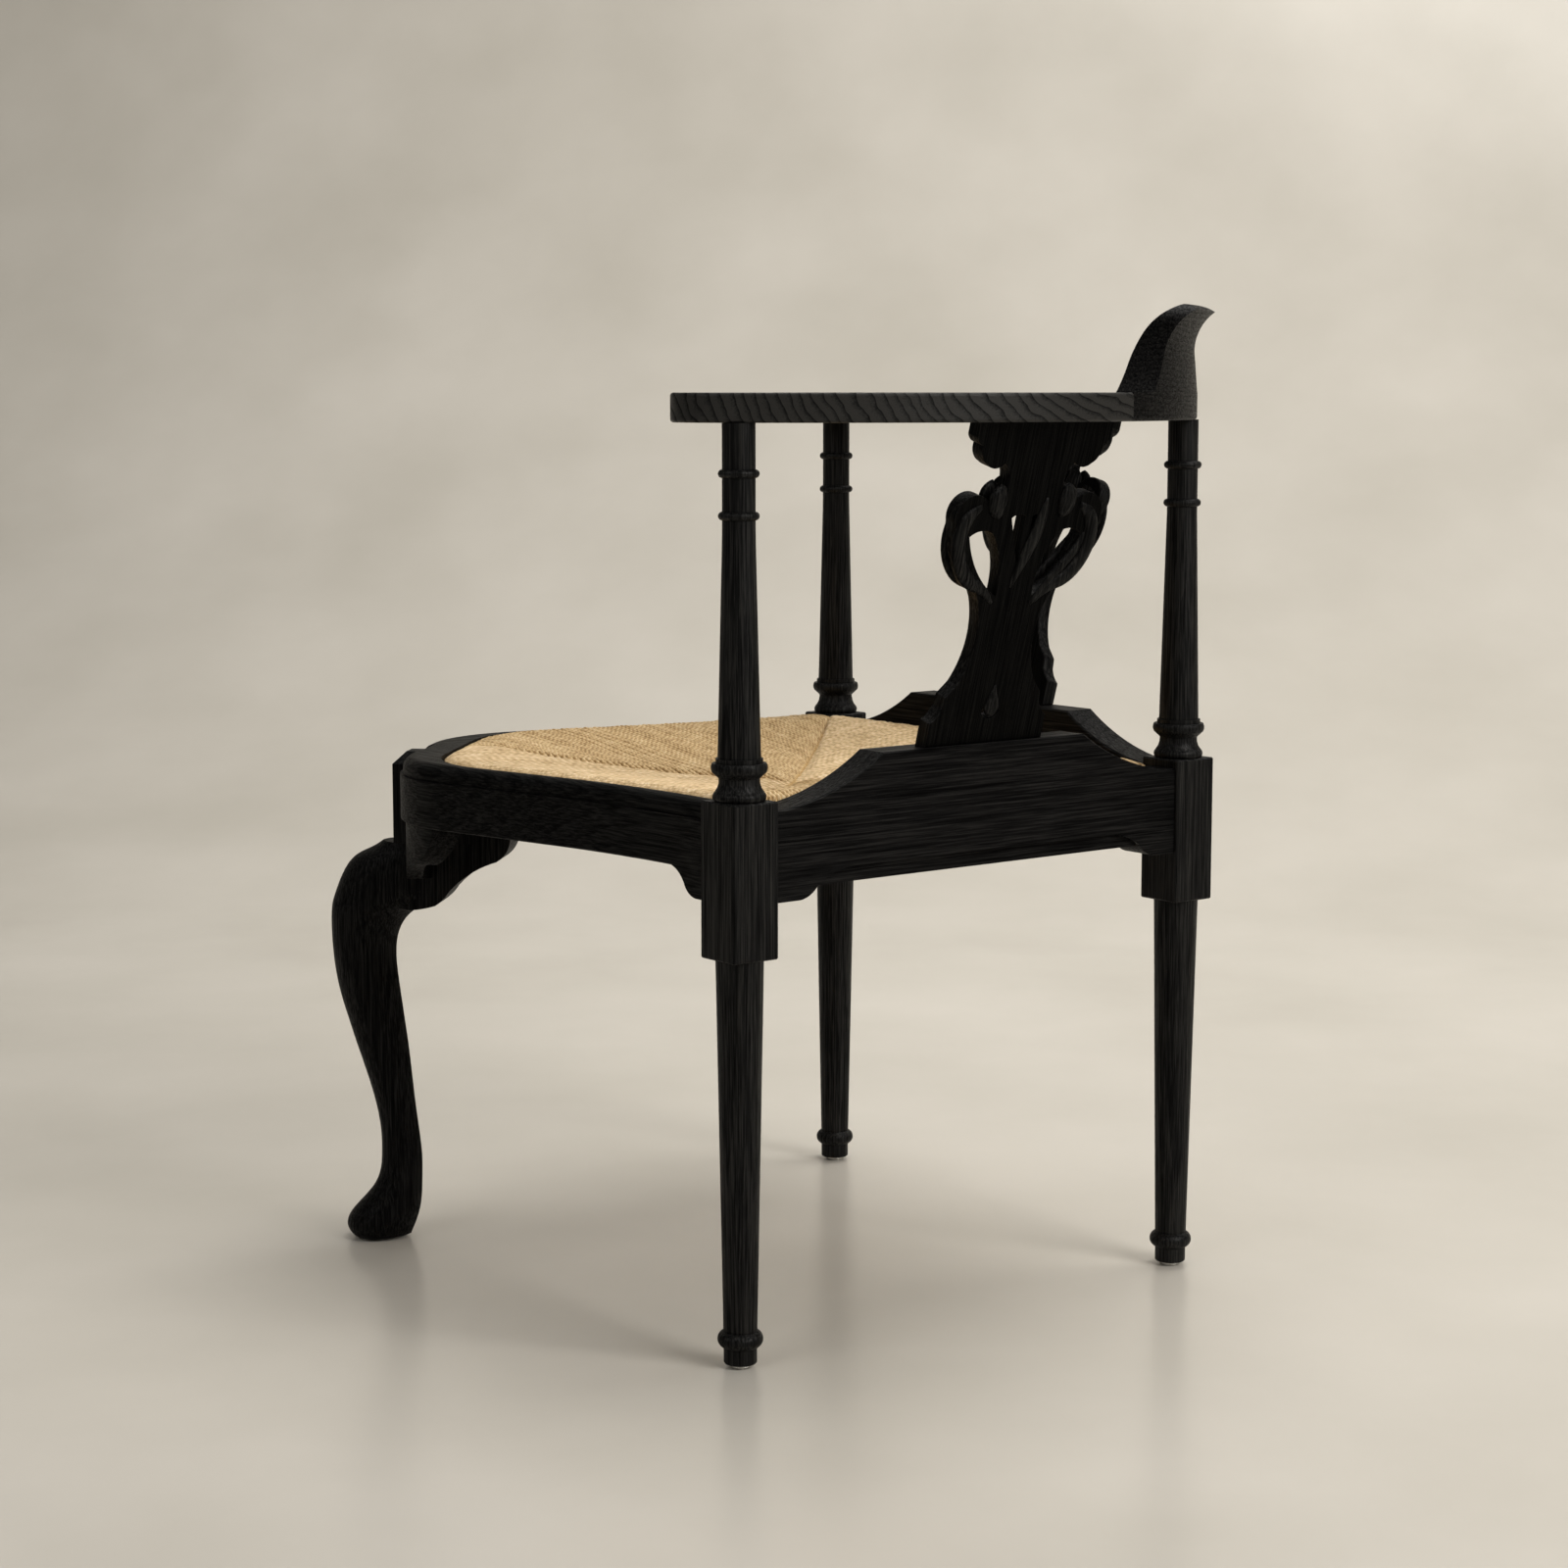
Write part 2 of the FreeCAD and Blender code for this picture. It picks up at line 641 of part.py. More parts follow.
def make_post(name):
    """A turned post: foot, tapering leg, square block, column and the round tenon in the arm."""
    body = new_body(f"{name}_post")
    block = sketch_in(body, "block", "XY_Plane", (0, 0, size["block_bottom"]))
    draw(block, box_path(-HALF_BLOCK, -HALF_BLOCK, HALF_BLOCK, HALF_BLOCK))
    feature(body, "Pad", block, size["block_top"] - size["block_bottom"])
    soften(body, "Chamfer", size["edge_chamfer"], lambda edge: True)

    bottom = size["glide_height"]
    nail = size["glide_nail_radius"] + size["glue_gap"]
    nail_top = bottom + size["glide_nail_length"] + size["glue_gap"]
    foot = size["foot_radius"]
    rounding = size["glide_rounding"]
    step = size["base_bead_inner_radius"]
    base_top = size["block_top"] + size["base_bead_height"]
    neck = base_top + size["base_cove_height"]
    torus = neck + size["base_flare_height"]
    torus_top = torus + size["torus_height"]
    column = torus_top + size["base_fillet_height"]
    thin = size["column_top_radius"]
    half_bead = size["neck_bead_height"] / 2
    tenon = size["post_tenon_radius"]
    tenon_top = size["arm_underside"] + size["post_tenon_length"]
    profile = [
        (0, nail_top),
        (nail, nail_top),
        (nail, bottom),
        (foot - rounding, bottom),
        (foot, bottom + rounding, rounding),
    ]
    profile += bead(size["foot_ring_radius"], size["foot_ring_bottom"], size["foot_ring_top"], foot)
    profile += [(size["leg_bottom_radius"], size["foot_ring_top"] + rounding)]
    profile += [(size["leg_top_radius"], size["block_bottom"]), (step, size["block_bottom"])]
    profile += bead(size["base_bead_radius"], size["block_top"], base_top, step)
    profile += [(size["base_neck_radius"], neck, -size["base_cove_radius"])]
    profile += bead(size["torus_radius"], torus, torus_top, size["base_flare_radius"])
    profile += [
        (size["base_fillet_radius"], torus_top),
        (size["base_fillet_radius"], column),
        (size["column_base_radius"], column),
    ]
    high_bead = size["arm_underside"] - size["neck_bead_drop"]
    low_bead = high_bead - size["neck_bead_spacing"]
    profile += [(thin, low_bead - size["neck_plain_height"])]
    for height in (low_bead, high_bead):
        profile += bead(size["neck_bead_radius"], height - half_bead, height + half_bead, thin)
    profile += [
        (thin, size["arm_underside"]),
        (tenon, size["arm_underside"]),
        (tenon, tenon_top),
        (0, tenon_top),
    ]
    turned = sketch_in(body, "turning", "XZ_Plane")
    draw(turned, profile)
    spin(body, turned)

    gap = size["glue_gap"]
    near = -size["tenon_offset"] - size["tenon_thickness"] / 2 - gap
    far = -size["tenon_offset"] + size["tenon_thickness"] / 2 + gap
    depth = size["tenon_length"] + gap
    low = size["tenon_bottom"] - gap
    high = size["tenon_top"] + gap
    first = sketch_in(body, "first_mortise", "YZ_Plane", (HALF_BLOCK, 0, 0))
    draw(first, box_path(near, low, far, high))
    feature(body, "Pocket", first, depth)
    second = sketch_in(body, "second_mortise", "XZ_Plane", (0, HALF_BLOCK, 0))
    draw(second, box_path(near, low, far, high))
    feature(body, "Pocket", second, depth, back=True)
    share_x, share_y, turn = POSTS[name]
    place(body, REACH * share_x, REACH * share_y, 0, turn)


def make_glide(name, x, y):
    """A nail glide: a domed steel button with its nail."""
    body = new_body(f"{name}_glide")
    rim = size["glide_radius"]
    rounding = size["glide_rounding"]
    top = size["glide_height"]
    nail = size["glide_nail_radius"]
    nail_top = top + size["glide_nail_length"]
    profile = sketch_in(body, "profile", "XZ_Plane")
    draw(profile, [
        (0, 0),
        (rim - rounding, 0),
        (rim, rounding, rounding),
        (rim, top),
        (nail, top),
        (nail, nail_top),
        (0, nail_top),
    ])
    spin(body, profile)
    place(body, x, y)


def make_back_rail(name):
    """A rear seat rail: dropped ends, coved top that rises to the seat of the splat, two tenons."""
    body = new_body(f"{name}_back_rail")
    end = HALF_SIDE - HALF_BLOCK
    top = size["back_rail_end_top"]
    raised = size["back_rail_raised_top"]
    drop = size["back_drop_bottom"]
    step_height = drop + size["back_drop_step_height"]
    flat = end - size["back_drop_flat"]
    step = end - size["back_drop_step"]
    stop = end - size["back_drop_length"]
    middle = size["raised_half_length"]
    cove = end - size["cove_setback"]
    elevation = sketch_in(body, "elevation", "XZ_Plane", (0, -size["rail_outset"], 0))
    draw(elevation, [
        (-end, drop),
        (-flat, drop),
        (-step, step_height, size["drop_lobe_radius"]),
        (-stop, size["back_rail_bottom"], -size["drop_cove_radius"]),
        (stop, size["back_rail_bottom"]),
        (step, step_height, -size["drop_cove_radius"]),
        (flat, drop, size["drop_lobe_radius"]),
        (end, drop),
        (end, top),
        (cove, top),
        (middle, raised, -size["cove_radius"]),
        (-middle, raised),
        (-cove, top, -size["cove_radius"]),
        (-end, top),
    ])
    feature(body, "Pad", elevation, RAIL_THICKNESS, back=True)
    soften(body, "Chamfer", size["edge_chamfer"],
           lambda edge: edge.BoundBox.YLength < 0.01 and edge.BoundBox.ZMin > top.value - 0.01)

    tenon = sketch_in(body, "tenons", "XY_Plane", (0, 0, size["tenon_bottom"]))
    tip = end + size["tenon_length"]
    near = -size["tenon_offset"] - size["tenon_thickness"] / 2
    far = -size["tenon_offset"] + size["tenon_thickness"] / 2
    draw(tenon, box_path(-tip, near, tip, far))
    feature(body, "Pad", tenon, size["tenon_top"] - size["tenon_bottom"])

    lean = size["splat_lean"]
    margin = size["splat_tenon_thickness"]
    mortise = sketch_in(body, "splat_mortise", "XY_Plane", (
        0,
        -size["splat_base_outset"] - margin * sine(lean),
        raised + margin * cosine(lean),
    ), tilt=lean)
    half = size["splat_tenon_half_width"] + size["glue_gap"]
    thick = size["splat_tenon_thickness"] / 2 + size["glue_gap"]
    draw(mortise, box_path(-half, -thick, half, thick))
    feature(body, "Pocket", mortise, margin + size["splat_foot_tenon"] + size["glue_gap"])
    share_x, share_y, turn = BACK_SIDES[name]
    place(body, REACH * 0.5 * share_x, REACH * 0.5 * share_y, 0, turn)


def face_edge(side, inset, height):
    """A test for the edges of a front rail's face, this far inside it and at this height."""
    ring = front_curve(inset)
    corners = list(ring[:5]) + [(size["head_half_width"], ring[4][1])]
    marks = [FreeCAD.Vector(side * x.value, y.value, height.value) for x, y in corners]

    def chosen(edge):
        near = [min(mark.distanceToPoint(corner.Point) for mark in marks) for corner in edge.Vertexes]
        return lies_flat(edge, height) and max(near) < 0.01

    return chosen


def make_front_rail(name):
    """A serpentine front rail: rebated for the seat behind a moulded lip, with a dropped end at the
    post and two tenons."""
    side = SIDES[name]
    body = new_body(f"{name}_front_rail")
    none = as_size(0)
    layers = {
        "base": (size["front_rail_bottom"], LEDGE, none, RAIL_THICKNESS),
        "lip": (LEDGE, size["front_rail_face_top"], none, LIP),
        "moulding": (size["front_rail_face_top"], size["front_rail_top"], size["moulding_quirk"], LIP),
    }
    for layer, (low, high, outer, inner) in layers.items():
        plan = sketch_in(body, layer, "XY_Plane", (0, 0, low))
        draw(plan, mirrored(rail_plan(outer, inner), side))
        feature(body, "Pad", plan, high - low)
        if layer == "base":
            soften(body, "Chamfer", size["edge_chamfer"], face_edge(side, outer, low))
        elif layer == "moulding":
            soften(body, "Fillet", size["moulding_radius"], face_edge(side, outer, high))

    low = size["front_drop_bottom"]
    bottom = size["front_rail_bottom"]
    start = HALF_BLOCK
    flat = start + size["front_drop_flat"]
    step = start + size["front_drop_step"]
    stop = start + size["front_drop_length"]
    step_height = low + size["front_drop_step_height"]
    origin_x, origin_y = along(name, -size["rail_outset"], as_size(0)) if side > 0 else along(
        name, as_size(0), -size["rail_outset"])
    drop = sketch_in(body, "drop", "XZ_Plane", (origin_x, origin_y, 0), turn=225 if side > 0 else 315)
    draw(drop, [
        (start, low),
        (flat, low),
        (step, step_height, size["front_lobe_radius"]),
        (stop, bottom, -size["front_cove_radius"]),
        (stop, bottom + size["edge_chamfer"] * 2),
        (start, bottom + size["edge_chamfer"] * 2),
    ])
    feature(body, "Pad", drop, RAIL_THICKNESS, back=side < 0)

    near = -size["tenon_offset"] - size["tenon_thickness"] / 2
    far = -size["tenon_offset"] + size["tenon_thickness"] / 2
    tip = HALF_BLOCK - size["tenon_length"]
    rear_tenon = sketch_in(body, "post_tenon", "XY_Plane", (0, 0, size["tenon_bottom"]))
    corners = [(near, tip), (far, tip), (far, HALF_BLOCK), (near, HALF_BLOCK)]
    if side > 0:
        draw(rear_tenon, [along(name, across, outward) for across, outward in corners])
    else:
        draw(rear_tenon, [along(name, outward, across) for across, outward in corners])
    feature(body, "Pad", rear_tenon, size["tenon_top"] - size["tenon_bottom"])

    head = size["head_half_width"]
    front = size["head_tenon_setback"] - FRONT_FACE
    front_tenon = sketch_in(body, "head_tenon", "XY_Plane", (0, 0, size["head_tenon_bottom"]))
    draw(front_tenon, mirrored(
        box_path(head - size["head_tenon_length"], front, head, front + size["head_tenon_thickness"]), side))
    feature(body, "Pad", front_tenon, size["head_tenon_top"] - size["head_tenon_bottom"])
    place(body)


def make_front_leg():
    """The cabriole leg: a square head between the front rails and rebated like them, a knee with an
    ogee bracket behind it, ankle and pad foot. It is drawn about the front corner of the seat."""
    body = new_body("front_leg")
    half = size["head_half_width"]
    face = FRONT_FACE - REACH
    front = face + size["head_projection"]
    back = RAIL_THICKNESS + size["front_deck"] - face
    edge_back = size["moulding_quirk"] + size["moulding_radius"] - face
    lip = LIP + size["front_deck"] - face
    head = sketch_in(body, "head", "XY_Plane", (0, 0, size["head_bottom"]))
    draw(head, box_path(-half, -front, half, back))
    feature(body, "Pad", head, LEDGE - size["head_bottom"])
    upper = sketch_in(body, "upper_head", "XY_Plane", (0, 0, LEDGE))
    draw(upper, box_path(-half, -front, half, edge_back))
    feature(body, "Pad", upper, size["head_top"] - LEDGE)
    inner = edge_back.value - 0.01
    soften(body, "Chamfer", size["head_bevel"], lambda edge: (
        lies_flat(edge, size["head_top"]) and edge.CenterOfMass.y < inner))
    deck = sketch_in(body, "head_deck", "XY_Plane", (0, 0, LEDGE))
    draw(deck, box_path(-half, edge_back, half, lip))
    feature(body, "Pad", deck, size["front_rail_top"] - LEDGE)

    sections = []
    for station in LEG_STATIONS:
        reach = -size[f"{station}_front"]
        rear = -size[f"{station}_back"]
        width = size[f"{station}_width"]
        ridge = reach + (rear - reach) * size["leg_ridge_share"]
        front_bow = root(width * width + (ridge - reach) * (ridge - reach)) * size["leg_front_fullness"]
        rear_bow = root(width * width + (rear - ridge) * (rear - ridge)) * size["leg_back_fullness"]
        section = sketch_in(body, station, "XY_Plane", (0, 0, size[f"{station}_height"]))
        draw(section, [
            (0, reach, front_bow),
            (width, ridge, front_bow),
            (0, rear, rear_bow),
            (-width, ridge, rear_bow),
        ])
        sections.append(section)
    loft = body.newObject("PartDesign::AdditiveLoft", "front_leg_loft")
    loft.Profile = sections[0]
    loft.Sections = sections[1:]
    body.Tip = loft

    knee = [tuple(size[f"{station}_{kind}"] for kind in ("depth", "height", "swell"))
            for station in KNEE_STATIONS]
    top = size["front_rail_bottom"]
    straight = as_size(0)
    bracket = sketch_in(body, "knee_bracket", "YZ_Plane")
    draw(bracket, swelling([
        (-size["lower_knee_front"] / 2, size["lower_knee_height"], straight),
        *[(depth - face, height, swell) for depth, height, swell in knee],
        (size["knee_tip_depth"] - face, top, straight),
        (straight, top, straight),
        (straight, size["upper_knee_height"], straight),
    ]))
    feature(body, "Pad", bracket, 2 * (half - size["bracket_housing"]), middle=True)

    gap = size["glue_gap"]
    near = size["head_tenon_setback"] - face - gap
    far = near + size["head_tenon_thickness"] + 2 * gap
    for side_name, side in SIDES.items():
        mortise = sketch_in(body, f"{side_name}_mortise", "YZ_Plane", (half * side, 0, 0))
        draw(mortise, box_path(near, size["head_tenon_bottom"] - gap, far, size["head_tenon_top"] + gap))
        feature(body, "Pocket", mortise, size["head_tenon_length"] + gap, back=side < 0)
    flats = sketch_in(body, "bracket_flats", "XY_Plane", (0, 0, size["bracket_bottom"]))
    bracket_front = size["bracket_setback"] - face
    for side in SIDES.values():
        draw(flats, mirrored(box_path(
            half - size["bracket_housing"], bracket_front, half * 2,
            bracket_front + size["bracket_thickness"]), side))
    feature(body, "Pocket", flats, size["front_rail_bottom"] - size["bracket_bottom"], back=True)
    nail = sketch_in(body, "nail_hole", "XY_Plane", (0, 0, size["sole_height"]))
    draw_circle(nail, 0, front_foot_centre(), size["glide_nail_radius"] + gap)
    feature(body, "Pocket", nail, size["glide_nail_length"] + gap, back=True)
    place(body, 0, -REACH)


def front_foot_centre():
    """Middle of the sole, from the front corner of the seat."""
    return -(size["sole_front"] + size["sole_back"]) / 2


def make_knee_bracket(name):
    """An ogee bracket beside the knee, curved in plan to follow the rail above it."""
    side = SIDES[name]
    body = new_body(f"{name}_knee_bracket")
    outer = front_curve(size["bracket_setback"])
    inner = front_curve(size["bracket_setback"] + size["bracket_thickness"])
    head = size["head_half_width"]
    root_x = head - size["bracket_housing"]
    reach = head + size["bracket_reach"]
    centre_y = size["front_corner_radius"] - FRONT_FACE
    run = reach - size["front_flat_half_width"]
    outer_y = centre_y - root(outer[6] * outer[6] - run * run)
    inner_y = centre_y - root(inner[6] * inner[6] - run * run)
    plan = sketch_in(body, "plan", "XY_Plane", (0, 0, size["bracket_bottom"]))
    draw(plan, mirrored([
        (root_x, inner[4][1]),
        (root_x, outer[4][1]),
        outer[4],
        (reach, outer_y, outer[6]),
        (reach, inner_y),
        inner[4] + (-inner[6],),
    ], side))
    feature(body, "Pad", plan, size["front_rail_bottom"] - size["bracket_bottom"])

    low = size["bracket_bottom"]
    lobe = head + size["bracket_lobe_length"]
    cove = head + size["bracket_cove_length"]
    below = low - size["bracket_nose_rise"]
    far = reach + size["bracket_thickness"]
    profile = sketch_in(body, "profile", "XZ_Plane")
    draw(profile, mirrored([
        (root_x, below),
        (far, below),
        (far, low + size["bracket_nose_rise"]),
        (reach, low + size["bracket_nose_rise"]),
        (cove, low + size["bracket_cove_rise"], -size["bracket_nose_radius"]),
        (lobe, low + size["bracket_lobe_rise"], size["bracket_cove_radius"]),
        (root_x, low),
    ], side))
    feature(body, "Pocket", profile, FRONT_FACE * 2, middle=True)
    place(body)


def swelling(path):
    """A path whose third numbers are swells, turned into one with the radii of those arcs."""
    made = []
    for index, (x, y, swell) in enumerate(path):
        if swell.value == 0:
            made.append((x, y))
            continue
        run_x = x - path[index - 1][0]
        run_y = y - path[index - 1][1]
        quarter = (run_x * run_x + run_y * run_y) / 4
        made.append((x, y, (quarter + swell * swell) / (2 * swell)))
    return made


def station_path(stations):
    """The corners of a part of the splat, with their swells; the heights follow the board's length."""
    share = SPLAT_LENGTH / size["splat_drawn_length"]
    return [(size[f"{station}_across"], size[f"{station}_rise"] * share, size[f"{station}_swell"])
            for station in stations]


def splat_outline():
    """Half outline of the splat, upwards from below its foot to above its head."""
    spare = size["splat_thickness"]
    straight = as_size(0)
    stations = station_path(SPLAT_STATIONS)
    foot = (size["splat_foot_across"], -spare, straight)
    head = (size["splat_corner_across"], SPLAT_LENGTH + spare, straight)
    return swelling([foot] + stations + [head])


def make_splat(name):
    """A pierced splat that leans outwards, with a tenon in the rail and one in the arm.
    It is drawn upright: X across the board, Y through it and Z up it."""
    body = new_body(f"{name}_splat")
    half = splat_outline()
    mirror = []
    for index in range(len(half) - 1, -1, -1):
        bow = half[index + 1][2:] if index + 1 < len(half) else ()
        mirror.append((-half[index][0], half[index][1]) + tuple(bow))
    outline = sketch_in(body, "outline", "XZ_Plane")
    draw(outline, half + mirror)
    feature(body, "Pad", outline, size["splat_thickness"], middle=True)

    lean = size["splat_lean"]
    reach = 2 * size["splat_thickness"]
    beyond = 2 * reach
    trim = sketch_in(body, "trim", "YZ_Plane")
    draw(trim, [
        (-reach, reach * tangent(lean)),
        (-reach, -beyond),
        (reach, -beyond),
        (reach, -reach * tangent(lean)),
    ])
    draw(trim, [
        (-reach, SPLAT_LENGTH + reach * tangent(lean)),
        (reach, SPLAT_LENGTH - reach * tangent(lean)),
        (reach, SPLAT_LENGTH + beyond),
        (-reach, SPLAT_LENGTH + beyond),
    ])
    feature(body, "Pocket", trim, SPLAT_LENGTH, middle=True)

    piercings = sketch_in(body, "piercings", "XZ_Plane")
    for side in SIDES.values():
        for corners in SPLAT_OPENINGS.values():
            draw(piercings, mirrored(swelling(station_path(corners)), side))
    drop = size["splat_drop_half_width"]
    drop_bottom = size["splat_drop_bottom"]
    draw(piercings, swelling([
        (as_size(0), drop_bottom + size["splat_drop_height"], as_size(0)),
        (-drop, drop_bottom, as_size(0)),
        (drop, drop_bottom, size["splat_drop_swell"]),
    ]))
    feature(body, "Pocket", piercings, reach, middle=True)

    wide = size["splat_tenon_half_width"]
    root_depth = size["splat_tenon_thickness"]
    foot = sketch_in(body, "tenons", "XZ_Plane")
    draw(foot, box_path(-wide, -size["splat_foot_tenon"], wide, root_depth))
    draw(foot, box_path(-wide, SPLAT_LENGTH - root_depth, wide, SPLAT_LENGTH + size["splat_head_tenon"]))
    feature(body, "Pad", foot, size["splat_tenon_thickness"], middle=True)

    share_x, share_y, turn = BACK_SIDES[name]
    out = size["splat_base_outset"] * HALF_ROOT
    place(body, REACH * 0.5 * share_x + out * share_x, REACH * 0.5 * share_y + out * share_y,
          size["back_rail_raised_top"], turn, lean)


def make_arm(name):
    """One half of the horseshoe arm, from the joint with the crest to its free front end."""
    side = SIDES[name]
    body = new_body(f"{name}_arm")
    angle = size["arm_joint_angle"]
    round_end = size["arm_corner_radius"]
    hand = size["arm_hand_radius"]
    front = -size["arm_front_reach"]
    plan = sketch_in(body, "plan", "XY_Plane", (0, 0, size["arm_underside"]))
    draw(plan, mirrored([
        (ARM_INNER * sine(angle), ARM_INNER * cosine(angle), ARM_INNER),
        (ARM_OUTER * sine(angle), ARM_OUTER * cosine(angle)),
        (ARM_OUTER, 0, -ARM_OUTER),
        (ARM_OUTER, front + hand),
        (ARM_OUTER - hand, front, -hand),
        (ARM_INNER + round_end, front),
        (ARM_INNER, front + round_end, -round_end),
        (ARM_INNER, 0),
    ], side))
    feature(body, "Pad", plan, size["arm_thickness"])
    joint_x = (ARM_INNER + ARM_OUTER) * sine(angle) / 2

    def on_rim(edge):
        level = lies_flat(edge, size["arm_underside"]) or lies_flat(edge, ARM_TOP)
        return level and abs(abs(edge.CenterOfMass.x) - joint_x.value) > 0.01

    soften(body, "Fillet", size["arm_edge_radius"], on_rim)

    gap = size["glue_gap"]
    socket = sketch_in(body, "post_socket", "XY_Plane", (0, 0, size["arm_underside"]))
    draw_circle(socket, REACH * side, 0, size["post_tenon_radius"] + gap)
    feature(body, "Pocket", socket, size["post_tenon_length"] + gap, back=True)

    share_x, share_y, turn = BACK_SIDES[name]
    lean = size["splat_lean"]
    margin = size["splat_tenon_thickness"]
    out = (size["splat_base_outset"] + SPLAT_RISE * tangent(lean) - margin * sine(lean)) * HALF_ROOT
    mortise = sketch_in(body, "splat_mortise", "XY_Plane", (
        REACH * 0.5 * share_x + out * share_x,
        REACH * 0.5 * share_y + out * share_y,
        size["arm_underside"] - margin * cosine(lean),
    ), turn=turn, tilt=lean)
    half = size["splat_tenon_half_width"] + gap
    thick = size["splat_tenon_thickness"] / 2 + gap
    draw(mortise, box_path(-half, -thick, half, thick))
    feature(body, "Pocket", mortise, margin + size["splat_head_tenon"] + gap, back=True)

    drill_joint(body, name, into_arm=True)
    place(body)


def drill_joint(body, name, into_arm):
    """Two dowel holes square to the joint between an arm and the crest."""
    side = SIDES[name]
    middle = (ARM_INNER + ARM_OUTER) / 2
    spread = size["dowel_spacing"] / 2
    height = size["arm_underside"] + size["arm_thickness"] / 2
    holes = sketch_in(body, f"{name}_dowel_holes", "YZ_Plane", turn=-size["arm_joint_angle"] * side)
    for radius in (middle - spread, middle + spread):
        draw_circle(holes, radius, height, size["dowel_radius"] + size["glue_gap"])
    depth = size["dowel_length"] / 2 + size["glue_gap"]
    feature(body, "Pocket", holes, depth, back=(side > 0) == into_arm)


def make_crest():
    """The crest: the back of the horseshoe and, standing on it, a thin crest that rolls backwards
    at the top and slopes down at both ends."""
    body = new_body("crest_rail")
    ring = sketch_in(body, "ring", "YZ_Plane")
    draw(ring, box_path(ARM_INNER, size["arm_underside"], ARM_OUTER, ARM_TOP))
    spin(body, ring, size["arm_joint_angle"] * 2)

    def on_rim(edge):
        """The long edges of the ring, apart from the top outer one, where the crest stands."""
        runs_round = abs(edge.CenterOfMass.x) < 0.01
        inner = math.hypot(edge.Vertexes[0].X, edge.Vertexes[0].Y) < (ARM_INNER + ARM_OUTER).value / 2
        return runs_round and (lies_flat(edge, size["arm_underside"]) or inner and lies_flat(edge, ARM_TOP))

    soften(body, "Fillet", size["arm_edge_radius"], on_rim)

    front = ARM_OUTER - size["crest_thickness"]
    waist = ARM_OUTER - size["crest_waist"]
    waist_z = ARM_TOP + size["crest_waist_height"]
    tip = ARM_OUTER + size["crest_roll_reach"]
    top = ARM_TOP + size["crest_height"]
    tip_z = top - size["crest_tip_drop"]
    foot = ARM_TOP - size["arm_edge_radius"]
    shoulder_z = ARM_TOP + size["crest_shoulder_height"]
    profile = sketch_in(body, "profile", "YZ_Plane")
    draw(profile, [
        (front, foot),
        (ARM_OUTER, foot),
        (waist, waist_z),
        (tip, tip_z, -size["crest_roll_radius"]),
        (ARM_OUTER, top, size["crest_lip_radius"]),
        (front + size["crest_brow_setback"], ARM_TOP + size["crest_brow_height"], size["crest_brow_radius"]),
        (front, ARM_TOP + size["crest_face_height"], size["crest_face_radius"]),
    ])
    spin(body, profile, size["crest_foot_angle"] * 2)

    wide = size["crest_foot_half_width"]
    shoulder = size["crest_shoulder_half_width"]
    crown = size["crest_top_half_width"]
    beyond = wide * 2
    above = top + size["crest_thickness"]
    ends = sketch_in(body, "ends", "XZ_Plane")
    straight = as_size(0)
    for side in SIDES.values():
        draw(ends, mirrored(swelling([
            (wide, ARM_TOP, size["crest_end_hollow"]),
            (beyond, ARM_TOP, straight),
            (beyond, above, straight),
            (crown, above, straight),
            (crown, top, straight),
            (shoulder, shoulder_z, -size["crest_shoulder_swell"]),
        ]), side))
    feature(body, "Pocket", ends, tip)

    gap = size["glue_gap"]
    socket = sketch_in(body, "post_socket", "XY_Plane", (0, 0, size["arm_underside"]))
    draw_circle(socket, 0, REACH, size["post_tenon_radius"] + gap)
    feature(body, "Pocket", socket, size["post_tenon_length"] + gap, back=True)
    for name in SIDES:
        drill_joint(body, name, into_arm=False)
    place(body)


def make_crest_dowels():
    """Four dowels, two across each joint of the horseshoe."""
    middle = (ARM_INNER + ARM_OUTER) / 2
    angle = size["arm_joint_angle"]
    height = size["arm_underside"] + size["arm_thickness"] / 2
    half = size["dowel_length"] / 2
    dowels = []
    for name, side in SIDES.items():
        for step in (-0.5, 0.5):
            radius = middle + size["dowel_spacing"] * step
            x = (radius * sine(angle) - half * cosine(angle)) * side
            y = radius * cosine(angle) + half * sine(angle)
            dowel = doc.addObject("Part::Cylinder", f"{name}_dowel")
            dowel.setExpression("Radius", size["dowel_radius"].formula)
            dowel.setExpression("Height", size["dowel_length"].formula)
            turning = turn_text((0, 0, 1), angle * -side) + " * " + turn_text((0, 1, 0), 90 * side)
            spot = vector_text(x, y + CENTRE_SHIFT, height)
            dowel.setExpression("Placement", f"placement({spot}; {turning})")
            dowels.append(dowel)
    group = doc.addObject("Part::Compound", "crest_dowels")
    group.Label = "crest_dowels"
    group.Links = dowels
    nodes.append(group)


def make_corner_block(name):
    """A glue block in the corner behind a post, notched round it; the drop-in seat rests on it."""
    body = new_body(f"{name}_corner_block")
    inset = size["rail_inset"]
    notch = HALF_BLOCK
    leg = inset + size["corner_block_leg"]
    bottom = LEDGE - size["corner_block_height"]
    plan = sketch_in(body, "plan", "XY_Plane", (0, 0, bottom))
    draw(plan, [(notch, inset), (leg, inset), (inset, leg), (inset, notch), (notch, notch)])
    feature(body, "Pad", plan, size["corner_block_height"])
    share_x, share_y, turn = POSTS[name]
    place(body, REACH * share_x, REACH * share_y, 0, turn)


